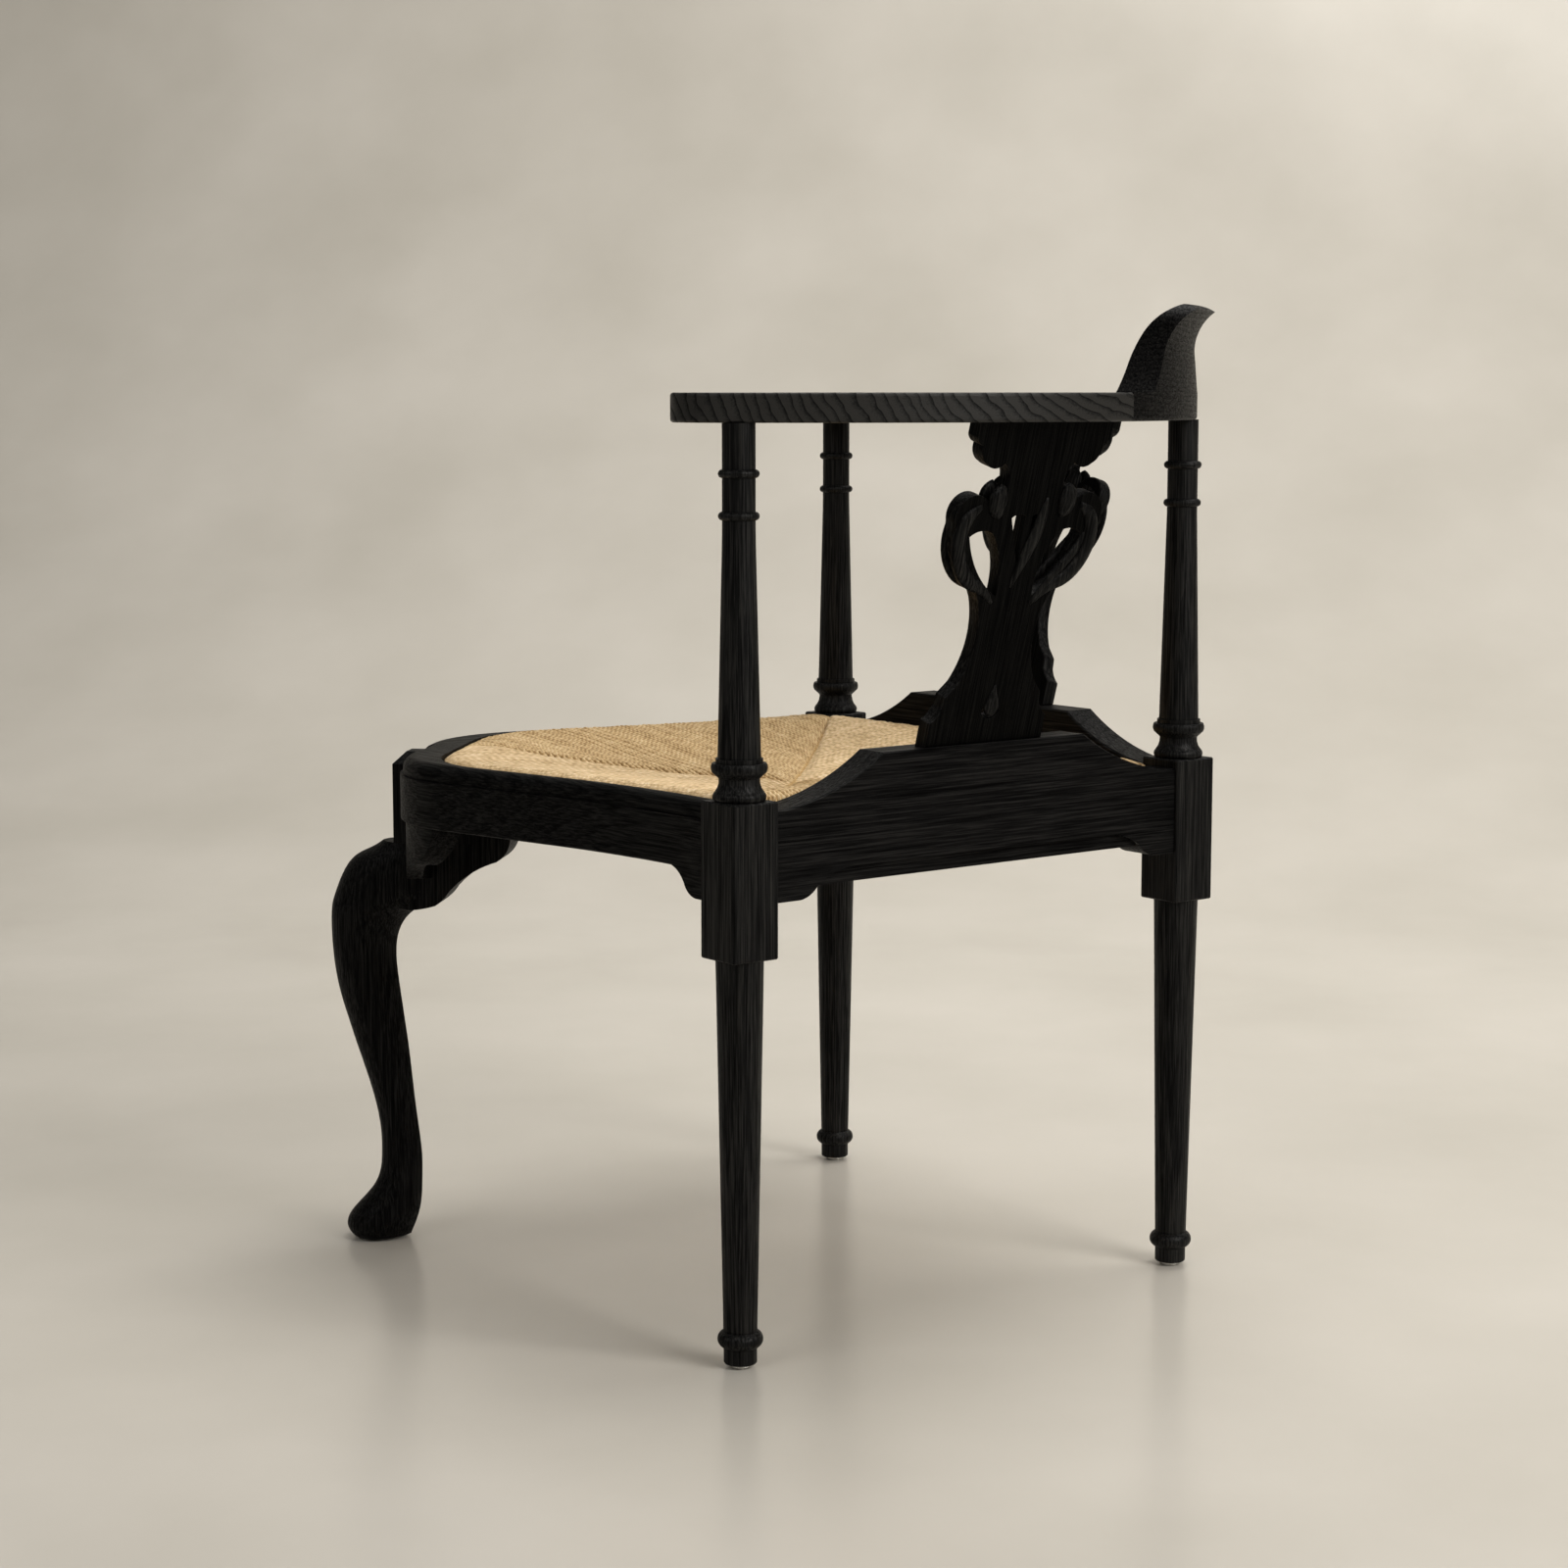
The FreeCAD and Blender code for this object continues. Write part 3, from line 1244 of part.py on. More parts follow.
def make_front_corner_block():
    """The glue block behind the head of the cabriole leg."""
    body = new_body("front_corner_block")
    half = size["front_block_half_width"]
    front = RAIL_THICKNESS + size["front_deck"] - FRONT_FACE
    bottom = LEDGE - size["corner_block_height"]
    plan = sketch_in(body, "plan", "XY_Plane", (0, 0, bottom))
    draw(plan, box_path(-half, front, half, front + size["front_block_depth"]))
    feature(body, "Pad", plan, size["corner_block_height"])
    place(body)


def make_seat_back_rail(name):
    """A straight rear rail of the seat frame, notched round the posts and half-lapped at its ends:
    the right rail keeps its lower half at the back corner and the left one its upper half."""
    body = new_body(f"seat_{name}_back_rail")
    back_edge = size["rail_inset"] + FRAME_INSET
    front_edge = LIP + FRAME_INSET - size["rail_outset"]
    half = size["seat_frame_thickness"] / 2
    for level, height in (("lower", FRAME_BOTTOM), ("upper", FRAME_BOTTOM + half)):
        layer = sketch_in(body, level, "XY_Plane", (0, 0, height))
        keeps_back = (level == "lower") == (name == "right")
        at_post = lap_end(front_edge, level == "lower", -1 if name == "right" else 1)
        at_back = lap_end(back_edge, keeps_back, 1 if name == "right" else -1)
        draw(layer, at_post + at_back if name == "right" else at_back + at_post)
        feature(body, "Pad", layer, half)
    share_x, share_y, turn = BACK_SIDES[name]
    place(body, REACH * 0.5 * share_x, REACH * 0.5 * share_y, 0, turn)


def lap_end(edge, full, way):
    """Corners of one end of a rear frame rail, which meets a rail whose outer edge lies this far from
    the post's axis: full to that edge and notched round the post, or short of the lap.
    The left end (way -1) is listed inwards to outwards, the right end outwards to inwards."""
    outer = size["rail_inset"] + FRAME_INSET
    inner = outer + size["seat_frame_width"]
    notch = HALF_BLOCK + FRAME_INSET
    if full:
        corners = [(notch, outer), (notch, notch), (edge, notch), (edge, inner)]
    else:
        corners = [(edge + size["seat_frame_width"], outer), (edge + size["seat_frame_width"], inner)]
    placed = [((HALF_SIDE - distance) * way, depth) for distance, depth in corners]
    return placed if way > 0 else placed[::-1]


def make_seat_front_rail(name):
    """A curved front rail of the seat frame, half-lapped to the rear rail and to its twin."""
    side = SIDES[name]
    body = new_body(f"seat_{name}_front_rail")
    inset = LIP + FRAME_INSET
    gap = size["rail_inset"] + FRAME_INSET
    notch = HALF_BLOCK + FRAME_INSET
    wide = size["seat_frame_width"]
    half = size["seat_frame_thickness"] / 2
    outer = front_curve(inset, size["front_deck"])
    inner = front_curve(inset + wide, size["front_deck"])
    lap = size["seat_front_lap"]
    for level, height in (("lower", FRAME_BOTTOM), ("upper", FRAME_BOTTOM + half)):
        layer = sketch_in(body, level, "XY_Plane", (0, 0, height))
        long_front = (level == "lower") == (name == "right")
        front_x = -lap if long_front else lap
        path = [(front_x, inner[4][1]), (front_x, outer[4][1]), outer[4], outer[3] + (outer[6],), outer[2]]
        if level == "upper":
            path.append(bend_point(inset, notch) + (-outer[5],))
            path += [along("right", notch, notch), along("right", notch, gap)]
            path.append(along("right", inset + wide - size["rail_outset"], gap))
        else:
            path.append(bend_point(inset, gap + wide) + (-outer[5],))
        path.append(bend_point(inset + wide, gap + wide))
        path += [inner[2] + (inner[5],), inner[3], inner[4] + (-inner[6],)]
        draw(layer, mirrored(path, side))
        feature(body, "Pad", layer, half)
    place(body)


def frame_opening():
    """Plan of the opening in the seat frame, which the packing fills."""
    inset = FRAME_INSET + size["seat_frame_width"]
    gap = size["rail_inset"] + inset
    curve = front_curve(LIP + inset, size["front_deck"])
    bend_end, turn_start, turn_end, bend, turn = curve[2:]
    rear = bend_point(LIP + inset, gap)
    return [
        turn_end,
        turn_start + (turn,),
        bend_end,
        rear + (-bend,),
        along("back", gap, gap),
        (-rear[0], rear[1]),
        (-bend_end[0], bend_end[1], -bend),
        (-turn_start[0], turn_start[1]),
        (-turn_end[0], turn_end[1], turn),
    ]


def helper_body(label):
    """A body that shapes the seat but is no piece of its own."""
    body = doc.addObject("PartDesign::Body", label)
    body.Label = label
    place(body)
    return body


def cut_away(label, base, tool):
    made = doc.addObject("Part::Cut", label)
    made.Label = label
    made.Base = base
    made.Tool = tool
    return made


def stack(body, plans):
    """A straight-sided loft through level plans, given as (height, path)."""
    sections = []
    for number, (height, path) in enumerate(plans, 1):
        section = sketch_in(body, f"level_{number}", "XY_Plane", (0, 0, height))
        draw(section, path)
        sections.append(section)
    loft = body.newObject("PartDesign::AdditiveLoft", f"{body.Label}_loft")
    loft.Profile = sections[0]
    loft.Sections = sections[1:]
    loft.Ruled = True
    body.Tip = loft


def make_dish(label, drop):
    """The hollow of the seat's top, lowered by this much: four slopes that fall towards the middle."""
    body = helper_body(label)
    plans = []
    for share in DISH_LEVELS:
        fall = size["dish_depth"] * (1 - power(share, size["dish_power"]))
        side = size["dish_side"] * share
        front = size["dish_front"] * share
        half = size["dish_front_half_width"] * share
        path = [(side, 0), (0, side), (-side, 0), (-half, -front), (half, -front)]
        plans.append((size["seat_rim_top"] - fall - drop, path))
    stack(body, plans)
    return body


def make_seat_packing():
    """Packing between the two layers of rush, inside the seat frame."""
    block = helper_body("packing_block")
    plan = sketch_in(block, "plan", "XY_Plane", (0, 0, FRAME_BOTTOM))
    draw(plan, frame_opening())
    feature(block, "Pad", plan, size["seat_frame_thickness"])
    nodes.append(cut_away("seat_packing", block, make_dish("packing_dish", size["rush_thickness"])))


def make_rush_seat():
    """The woven rush: one skin over, round and under the seat frame and its packing, dished in the
    middle where the strands of the four sides meet."""
    skin = helper_body("rush_outside")
    edge = size["seat_clearance"]
    rounding = size["seat_edge_rounding"]
    bottom = size["seat_bottom"]
    plans = [(bottom, seat_plan(edge + rounding)), (bottom + rounding, seat_plan(edge))]
    for station in RIM_STATIONS:
        height = size["seat_rim_top"] - size[f"{station}_drop"]
        plans.append((height, seat_plan(edge + size[f"{station}_inset"])))
    stack(skin, plans)

    filling = helper_body("rush_filling")
    plan = sketch_in(filling, "plan", "XY_Plane", (0, 0, FRAME_BOTTOM))
    draw(plan, seat_plan(FRAME_INSET))
    feature(filling, "Pad", plan, size["seat_frame_thickness"])
    inside = cut_away("rush_inside", filling, make_dish("inner_dish", size["rush_thickness"]))

    dished = cut_away("rush_dished", skin, make_dish("outer_dish", as_size(0)))
    nodes.append(cut_away("rush_seat", dished, inside))


for post in POSTS:
    make_post(post)
for post, (share_x, share_y, turn) in POSTS.items():
    make_glide(post, REACH * share_x, REACH * share_y)
make_glide("front", as_size(0), front_foot_centre() - REACH)
make_front_leg()
for side_name in SIDES:
    make_knee_bracket(side_name)
    make_back_rail(side_name)
    make_front_rail(side_name)
    make_splat(side_name)
    make_arm(side_name)
    make_seat_back_rail(side_name)
    make_seat_front_rail(side_name)
make_crest()
make_crest_dowels()
for post in POSTS:
    make_corner_block(post)
make_front_corner_block()
make_seat_packing()
make_rush_seat()
doc.recompute()

# Every feature must have worked, every cut must have cut, and every solid must be sound.
for made in doc.Objects:
    if "Invalid" in made.State or "Error" in made.State:
        raise RuntimeError(f"{made.Label} failed: {made.State}")
    if made.TypeId in ("PartDesign::Pocket", "PartDesign::Groove"):
        if made.Shape.Volume > made.BaseFeature.Shape.Volume - 1:
            raise RuntimeError(f"{made.Label} cuts nothing")
for node in nodes:
    if node.Shape.isNull() or not node.Shape.isValid():
        raise RuntimeError(f"{node.Label} has no sound solid")

os.makedirs("parts", exist_ok=True)
for node in nodes:
    node.Shape.exportStep(os.path.join("parts", f"{node.Label}.step"))
    box = node.Shape.BoundBox
    print(f"{node.Label}: {len(node.Shape.Solids)} solid, {node.Shape.Volume / 1000:.1f} cm3, "
          f"x {box.XMin:.1f} to {box.XMax:.1f}, y {box.YMin:.1f} to {box.YMax:.1f}, "
          f"z {box.ZMin:.1f} to {box.ZMax:.1f}")
print(len(nodes), "nodes")
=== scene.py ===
# %% [markdown]
# # A corner chair in ebonised ash with a rush seat
# This lesson dresses a finished construction model. The solids of the chair arrive as fixed nodes, in
# metres, with +Z up and the front corner towards -Y. They keep their places and shapes. We set up a studio,
# add the finishes, carve the splats and weave the seat.

# %% The fixed frame
import math
import random

import bmesh
import bpy
from mathutils import Matrix, Vector
from mathutils.bvhtree import BVHTree


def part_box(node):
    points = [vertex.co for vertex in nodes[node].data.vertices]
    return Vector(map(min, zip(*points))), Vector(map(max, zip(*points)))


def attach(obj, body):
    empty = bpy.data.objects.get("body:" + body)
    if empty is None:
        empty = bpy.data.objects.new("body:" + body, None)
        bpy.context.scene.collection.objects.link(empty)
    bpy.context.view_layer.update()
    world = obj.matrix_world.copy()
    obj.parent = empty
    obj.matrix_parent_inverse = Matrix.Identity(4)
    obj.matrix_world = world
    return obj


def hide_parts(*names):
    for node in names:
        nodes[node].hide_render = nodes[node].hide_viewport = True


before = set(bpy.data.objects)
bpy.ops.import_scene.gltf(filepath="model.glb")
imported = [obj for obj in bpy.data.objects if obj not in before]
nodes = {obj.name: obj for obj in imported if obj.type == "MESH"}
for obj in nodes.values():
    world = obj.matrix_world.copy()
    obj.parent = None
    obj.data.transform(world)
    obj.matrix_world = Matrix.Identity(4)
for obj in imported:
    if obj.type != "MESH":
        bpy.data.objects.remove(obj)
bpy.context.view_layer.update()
MM = 0.001
SIDES = {"right": 1, "left": -1}

# %% [markdown]
# ## The camera
# The picture was taken with a long lens from about the height of the arm, so that upright lines stay
# nearly parallel. We could point the camera with a constraint, but a plain place and two angles are easier
# to read and never move by themselves.

# %% Camera
LENS_MM = 70.58
CAMERA_SPOT = Vector((2.5649, 0.3471, 0.7354))
CAMERA_TILT = math.radians(82.733)
CAMERA_TURN = math.radians(97.31)

camera = bpy.data.objects.new("camera", bpy.data.cameras.new("camera"))
camera.data.lens = LENS_MM
camera.location = CAMERA_SPOT
camera.rotation_euler = (CAMERA_TILT, 0, CAMERA_TURN)
bpy.context.scene.collection.objects.link(camera)
bpy.context.scene.camera = camera
bpy.context.scene.view_settings.view_transform = "Standard"
print("camera", round(CAMERA_SPOT.x, 2), "m to the right of the chair, with a lens of", LENS_MM, "mm")

# %% [markdown]
# ## Helpers for every finish
# A colour is written as the hex value that a paint chart would give. The shaders work in linear light, so
# one function turns the one into the other. A second one adds a node with its settings and links, which
# keeps each material short enough to read as a recipe. Two more start a material and an object.

# %% Colour and nodes
def linear(hex_colour):
    """The linear RGBA of an sRGB colour such as #1a2b3c."""
    parts = [int(hex_colour[start:start + 2], 16) / 255 for start in (1, 3, 5)]
    return [part / 12.92 if part <= 0.04045 else ((part + 0.055) / 1.055) ** 2.4 for part in parts] + [1]


def add(tree, kind, inputs=None, stops=None, **settings):
    """Add a node. Inputs hold a value or the output to link; stops fill a colour ramp."""
    node = tree.nodes.new("ShaderNode" + kind)
    for name, value in settings.items():
        setattr(node, name, value)
    for name, value in (inputs or {}).items():
        if isinstance(value, bpy.types.NodeSocket):
            tree.links.new(value, node.inputs[name])
        else:
            node.inputs[name].default_value = value
    if stops:
        elements = node.color_ramp.elements
        while len(elements) < len(stops):
            elements.new(0.5)
        for element, (place, colour) in zip(elements, stops):
            element.position = place
            element.color = linear(colour)
    return node


def new_material(name):
    """A material with its node tree and its shader."""
    material = bpy.data.materials.new(name)
    material.use_nodes = True
    return material, material.node_tree, material.node_tree.nodes["Principled BSDF"]


def new_object(name, shape, material):
    """An object at the origin that holds this mesh."""
    piece = bpy.data.objects.new(name, shape)
    bpy.context.scene.collection.objects.link(piece)
    piece.data.materials.append(material)
    return piece


print("linear mid grey:", round(linear("#808080")[0], 3))

# %% [markdown]
# ## The studio paint
# The floor is a board with a satin paint, which gives the eye a pale warm grey and soft reflections under
# the feet. It is brushed on unevenly, so a soft cloud of noise varies its tone a little. Behind the camera
# there is no wall. There the floor fades into a pale room, which only the camera sees and which lights
# nothing, so the chair looks the same with it and without it.

# %% Studio paint
CLOUD_SIZE = 0.45
PAINT_TONES = [(0.3, "#c2bdb3"), (0.7, "#cfcac1")]
PAINT_ROUGHNESS = 0.24
FADE_START = 2.5
FADE_END = 5.0
FORWARD_HASTE = 1.8   # the fade comes this much sooner towards +X, where the lamps reach less far
FAR_TONE = "#cdc7bc"

paint, tree, shader = new_material("painted_studio_floor")
place = add(tree, "TexCoord")
clouds = add(tree, "TexNoise", {"Vector": place.outputs["Object"], "Scale": 1 / CLOUD_SIZE, "Detail": 5.0})
tone = add(tree, "ValToRGB", {"Fac": clouds.outputs["Fac"]}, stops=PAINT_TONES)
tree.links.new(tone.outputs["Color"], shader.inputs["Base Color"])
shader.inputs["Roughness"].default_value = PAINT_ROUGHNESS

hastened = add(tree, "Mapping", {"Vector": place.outputs["Object"], "Scale": (FORWARD_HASTE, 1, 1)})
axes = add(tree, "SeparateXYZ", {"Vector": hastened.outputs["Vector"]})
forward = add(tree, "Math", {0: axes.outputs["X"], 1: 0.0}, operation="MAXIMUM")
in_plan = add(tree, "CombineXYZ", {"X": forward.outputs[0], "Y": axes.outputs["Y"]})
distance = add(tree, "VectorMath", {0: in_plan.outputs[0]}, operation="LENGTH")
haze = add(tree, "MapRange", {
    "Value": distance.outputs["Value"], "From Min": FADE_START, "From Max": FADE_END,
}, interpolation_type="SMOOTHSTEP")
looking = add(tree, "LightPath")
seen_haze = add(tree, "Math", {0: haze.outputs["Result"], 1: looking.outputs["Is Camera Ray"]},
                operation="MULTIPLY")
far_floor = add(tree, "Emission", {"Color": linear(FAR_TONE), "Strength": 1.0})
faded = add(tree, "MixShader", {
    0: seen_haze.outputs[0], 1: shader.outputs["BSDF"], 2: far_floor.outputs["Emission"]})
tree.links.new(faded.outputs["Shader"], tree.nodes["Material Output"].inputs["Surface"])
print(paint.name, "fades from", FADE_START, "to", FADE_END, "m")

# %% [markdown]
# ## Floor and backdrop
# A studio floor sweeps up into its backdrop without a corner. One edge, pulled back along the floor and then
# spun round an axis, makes the whole sweep. A grid bent by hand could do it too, but the spin keeps the
# radius as one value. It is stage, not chair.

# %% Floor and backdrop
FLOOR_FRONT = 12.0
SWEEP_START = -1.5
SWEEP_RADIUS = 3.0
SWEEP_ANGLE = math.radians(88)
SWEEP_STEPS = 32
HALF_WIDTH = 9.0

bm = bmesh.new()
front_edge = bm.edges.new([bm.verts.new((FLOOR_FRONT, end * HALF_WIDTH, 0)) for end in (1, -1)])
pulled = bmesh.ops.extrude_edge_only(bm, edges=[front_edge])["geom"]
bmesh.ops.translate(bm, verts=[item for item in pulled if isinstance(item, bmesh.types.BMVert)],
                    vec=(SWEEP_START - FLOOR_FRONT, 0, 0))
foot_line = [edge for edge in bm.edges if all(abs(vert.co.x - SWEEP_START) < MM for vert in edge.verts)]
bmesh.ops.spin(bm, geom=foot_line + list(foot_line[0].verts), cent=(SWEEP_START, 0, SWEEP_RADIUS),
               axis=(0, 1, 0), angle=SWEEP_ANGLE, steps=SWEEP_STEPS)
bmesh.ops.recalc_face_normals(bm, faces=bm.faces)
sweep = bpy.data.meshes.new("studio_sweep")
bm.to_mesh(sweep)
bm.free()
sweep.shade_smooth()
stage = new_object("studio_sweep", sweep, paint)
print("sweep rises to", round(max(vert.co.z for vert in sweep.vertices), 2), "m")

# %% [markdown]
# ## The light
# A large softbox stands to the right of the camera, and its light rakes along the outer faces. A second one
# hangs over the seat. A weak one at the left keeps the front rail just above full black, and the last one
# lights the backdrop alone. Area lamps are used because their size, and not a blur, makes the shadows soft.

# %% Softboxes
CHAIR_MIDDLE = Vector((0.0, 0.0, 0.45))
BACKDROP_MIDDLE = Vector((-4.2, 0, 1.6))


def softbox(name, spot, size, watts, colour, target=CHAIR_MIDDLE):
    """A square area lamp at a place, turned towards its target."""
    lamp = bpy.data.lights.new(name, "AREA")
    lamp.size = size
    lamp.energy = watts
    lamp.color = linear(colour)[:3]
    holder = bpy.data.objects.new(name, lamp)
    holder.location = spot
    holder.rotation_euler = (target - Vector(spot)).to_track_quat("-Z", "Y").to_euler()
    bpy.context.scene.collection.objects.link(holder)


softbox("key_softbox", spot=(1.7, 2.8, 2.3), size=1.8, watts=92, colour="#fffcf8")
softbox("overhead_softbox", spot=(-0.9, 0.2, 3.2), size=2.4, watts=42, colour="#fffdfa")
softbox("fill_softbox", spot=(2.2, -1.6, 2.3), size=1.6, watts=18, colour="#fffdfa")
softbox("backdrop_softbox", spot=(-1.4, 1.2, 4.6), size=3.0, watts=150, colour="#fffcf6",
        target=BACKDROP_MIDDLE)
print(len(bpy.data.lights), "softboxes")

# %% [markdown]
# ## The room
# The walls of the studio give back a little warm light from every side. That is the world's background. The
# camera itself sees the pale room there, the one that the floor fades into.

# %% Room light
ROOM_TONE = "#d6d3cd"
ROOM_STRENGTH = 0.2

world = bpy.data.worlds.new("studio_room")
world.use_nodes = True
tree = world.node_tree
room = tree.nodes["Background"]
room.inputs["Color"].default_value = linear(ROOM_TONE)
room.inputs["Strength"].default_value = ROOM_STRENGTH
far_wall = add(tree, "Background", {"Color": linear(FAR_TONE), "Strength": 1.0})
looking = add(tree, "LightPath")
either = add(tree, "MixShader", {
    0: looking.outputs["Is Camera Ray"], 1: room.outputs["Background"], 2: far_wall.outputs["Background"]})
tree.links.new(either.outputs["Shader"], tree.nodes["World Output"].inputs["Surface"])
bpy.context.scene.world = world
print("room light", ROOM_TONE, "at", ROOM_STRENGTH)

# %% [markdown]
# ## Ebonised ash
# Ash is an open-grained wood: every year it grows a porous light band and a dense dark one. The maker stains
# it black and rubs it with a satin finish, and the pores stay open, so the grain shows as relief and shine
# more than as colour. We could paint streaks on each face, but a solid pattern is truer: rings round a pith
# line that runs along the board. Where a piece is cut across, the rings show as arcs, as on the arm's edge.

# %% Ebonised ash
PORE_WIDTH = 1.3 * MM          # real pores are 0.3 mm wide, which is too fine to show here
PORE_DEPTH = 0.9 * MM          # drawn deep for the same reason
PORE_SHINE = 0.25              # an open pore keeps this share of the finish's shine
WAVE_PERIOD = math.pi / 10     # the ring texture repeats after this length at a scale of 1
LINE_POWER = 0.3               # a low power keeps the dark early wood of each ring to a thin line
WANDER_SPAN = 15               # rings that wander more do so in shorter bends
GRAIN_STEPS = (0.4, 0.52, 0.68)
ROUGH_HEIGHTS = (0.3, 0.7)     # between these heights of the grain
ROUGHNESS = (0.62, 0.42)       # the surface goes from open pore to rubbed satin
SHINE_HEIGHTS = (0.38, 0.66)
END_GRAIN = (0.4, 0.8)         # how far a face looks along the grain when it starts and ends to drink
ALONG_GRAIN = Vector((1, 0, 0))
BLACKS = ("#010101", "#040404", "#171615")


def ebonised_ash(name, grain, pith, rings=5.0, ring_share=0.12, stretch=0.02, tones=BLACKS, wander=5.0,
                 shine=0.12, thirst=0.0):
    """Satin black ash whose grain runs along this direction. The pith's place is in metres in the plane
    across the grain, rings are their spacing in mm, the ring share sets them against the pores, and they
    wander by this many radians. A thirsty end grain drinks the finish and loses this share of the shine."""
    material, tree, shader = new_material("ebonised_ash_" + name)
    place = add(tree, "TexCoord")
    turn = Vector(grain).normalized().rotation_difference(ALONG_GRAIN).to_euler()
    board = add(tree, "Mapping", {
        "Vector": place.outputs["Object"], "Rotation": turn, "Location": (0, -pith[0], -pith[1])})
    drawn_out = add(tree, "Mapping", {"Vector": board.outputs["Vector"], "Scale": (stretch, 1, 1)})
    growth = add(tree, "TexWave", {
        "Vector": drawn_out.outputs["Vector"], "Scale": WAVE_PERIOD / (rings * MM), "Distortion": wander,
        "Detail": 3.0, "Detail Scale": wander / WANDER_SPAN, "Detail Roughness": 0.6,
    }, wave_type="RINGS", rings_direction="X", wave_profile="SAW")
    lines = add(tree, "Math", {0: growth.outputs["Fac"], 1: LINE_POWER}, operation="POWER")
    pores = add(tree, "TexNoise", {
        "Vector": drawn_out.outputs["Vector"], "Scale": 1 / PORE_WIDTH, "Detail": 3.0, "Roughness": 0.65,
        "Distortion": 0.3})
    fine = add(tree, "Math", {0: pores.outputs["Fac"], 1: 1 - ring_share}, operation="MULTIPLY")
    height = add(tree, "Math", {0: lines.outputs[0], 1: ring_share, 2: fine.outputs[0]},
                 operation="MULTIPLY_ADD").outputs[0]
    tone = add(tree, "ValToRGB", {"Fac": height}, stops=list(zip(GRAIN_STEPS, tones)))
    sheen = add(tree, "MapRange", {
        "Value": height, "From Min": ROUGH_HEIGHTS[0], "From Max": ROUGH_HEIGHTS[1],
        "To Min": ROUGHNESS[0], "To Max": ROUGHNESS[1]})
    relief = add(tree, "Bump", {"Height": height, "Strength": 0.5, "Distance": PORE_DEPTH})
    gloss = add(tree, "MapRange", {
        "Value": height, "From Min": SHINE_HEIGHTS[0], "From Max": SHINE_HEIGHTS[1],
        "To Min": shine * PORE_SHINE, "To Max": shine}).outputs["Result"]
    if thirst:
        skin_turn = add(tree, "NewGeometry")
        facing = add(tree, "VectorMath", {0: skin_turn.outputs["Normal"], 1: Vector(grain)},
                     operation="DOT_PRODUCT")
        end = add(tree, "Math", {0: facing.outputs["Value"]}, operation="ABSOLUTE")
        dry = add(tree, "MapRange", {
            "Value": end.outputs[0], "From Min": END_GRAIN[0], "From Max": END_GRAIN[1],
            "To Min": 1.0, "To Max": 1 - thirst})
        gloss = add(tree, "Math", {0: gloss, 1: dry.outputs["Result"]}, operation="MULTIPLY").outputs[0]
    tree.links.new(tone.outputs["Color"], shader.inputs["Base Color"])
    tree.links.new(sheen.outputs["Result"], shader.inputs["Roughness"])
    tree.links.new(relief.outputs["Normal"], shader.inputs["Normal"])
    tree.links.new(gloss, shader.inputs["Specular IOR Level"])
    return material


print("ash pores are drawn", round(PORE_WIDTH / MM, 1), "mm wide")

# %% [markdown]
# ## Posts, leg, rails and arms
# Each piece is cut from its own board, so each gets its own grain direction and its own place of the pith.
# The turned posts show streaks, the arm's edge shows grey rings, and the crest's end grain has drunk the
# finish and looks dull. The splats stay almost without shine, except their edges and carving, which get a
# lighter finish: partly rubbed wear where a hand or a chisel rubbed them, partly painted highlight.

# %% Ash pieces
UPRIGHT = (0, 0, 1)
SIDEWAYS = (1, 0, 0)
DEEP_BLACKS = ("#020202", "#030303", "#070706")
GREY_BLACKS = ("#050505", "#151514", "#2b2a28")
STREAKY_BLACKS = ("#030303", "#080808", "#1f1e1c")


def dress(material, *names):
    """Give CAD nodes a finish."""
    for name in names:
        nodes[name].data.materials.clear()
        nodes[name].data.materials.append(material)


dress(ebonised_ash("post", UPRIGHT, pith=(0.3, 0.2), tones=STREAKY_BLACKS, shine=0.22),
      "right_post", "left_post", "back_post")
dress(ebonised_ash("leg", UPRIGHT, pith=(0.1, -0.2)), "front_leg")
dress(ebonised_ash("crest", SIDEWAYS, pith=(0.33, 0.5), rings=4.0, ring_share=0.16, stretch=0.1, wander=9.0,
                   thirst=0.8), "crest_rail")
splat_ash = {}
rubbed_lit_ash = {}
for side, way in SIDES.items():
    dress(ebonised_ash(side + "_back_rail", (-way, 1, 0), pith=(0.3, 0.2)), side + "_back_rail")
    dress(ebonised_ash(side + "_front_rail", (way, 1.1, 0), pith=(0.3, 0.2)),
          side + "_front_rail", side + "_knee_bracket")
    dress(ebonised_ash(side + "_arm", SIDEWAYS, pith=(0.36, 0.86), rings=8.0, ring_share=0.55, stretch=0.12,
                       tones=GREY_BLACKS, wander=8.0, shine=0.16), side + "_arm")
    upwards = (0.2 * way, 0.2, 1)
    splat_ash[side] = ebonised_ash(side + "_splat", upwards, pith=(0.1, 0.3), tones=DEEP_BLACKS, shine=0.04)
    # A lighter, shinier copy for the splats' edges and carving: partly rubbed wear, partly painted highlight.
    rubbed_lit_ash[side] = ebonised_ash(side + "_rubbed_lit_edge", upwards, pith=(0.1, 0.3), tones=STREAKY_BLACKS)
    dress(splat_ash[side], side + "_splat")
print("boards of ash:", len([item for item in bpy.data.materials if item.name.startswith("ebonised")]))

# %% [markdown]
# ## Where a splat stands
# Each splat is a board that leans outwards between its rear rail and the arm. Carving is easier to describe
# on a board that lies flat, with one axis across it, one through it and one up it. A matrix turns those axes
# into the chair's. The lean is that of the solid, and its box and the rail's give the rest.

# %% The board's own axes
SPLAT_LEAN = math.radians(16)


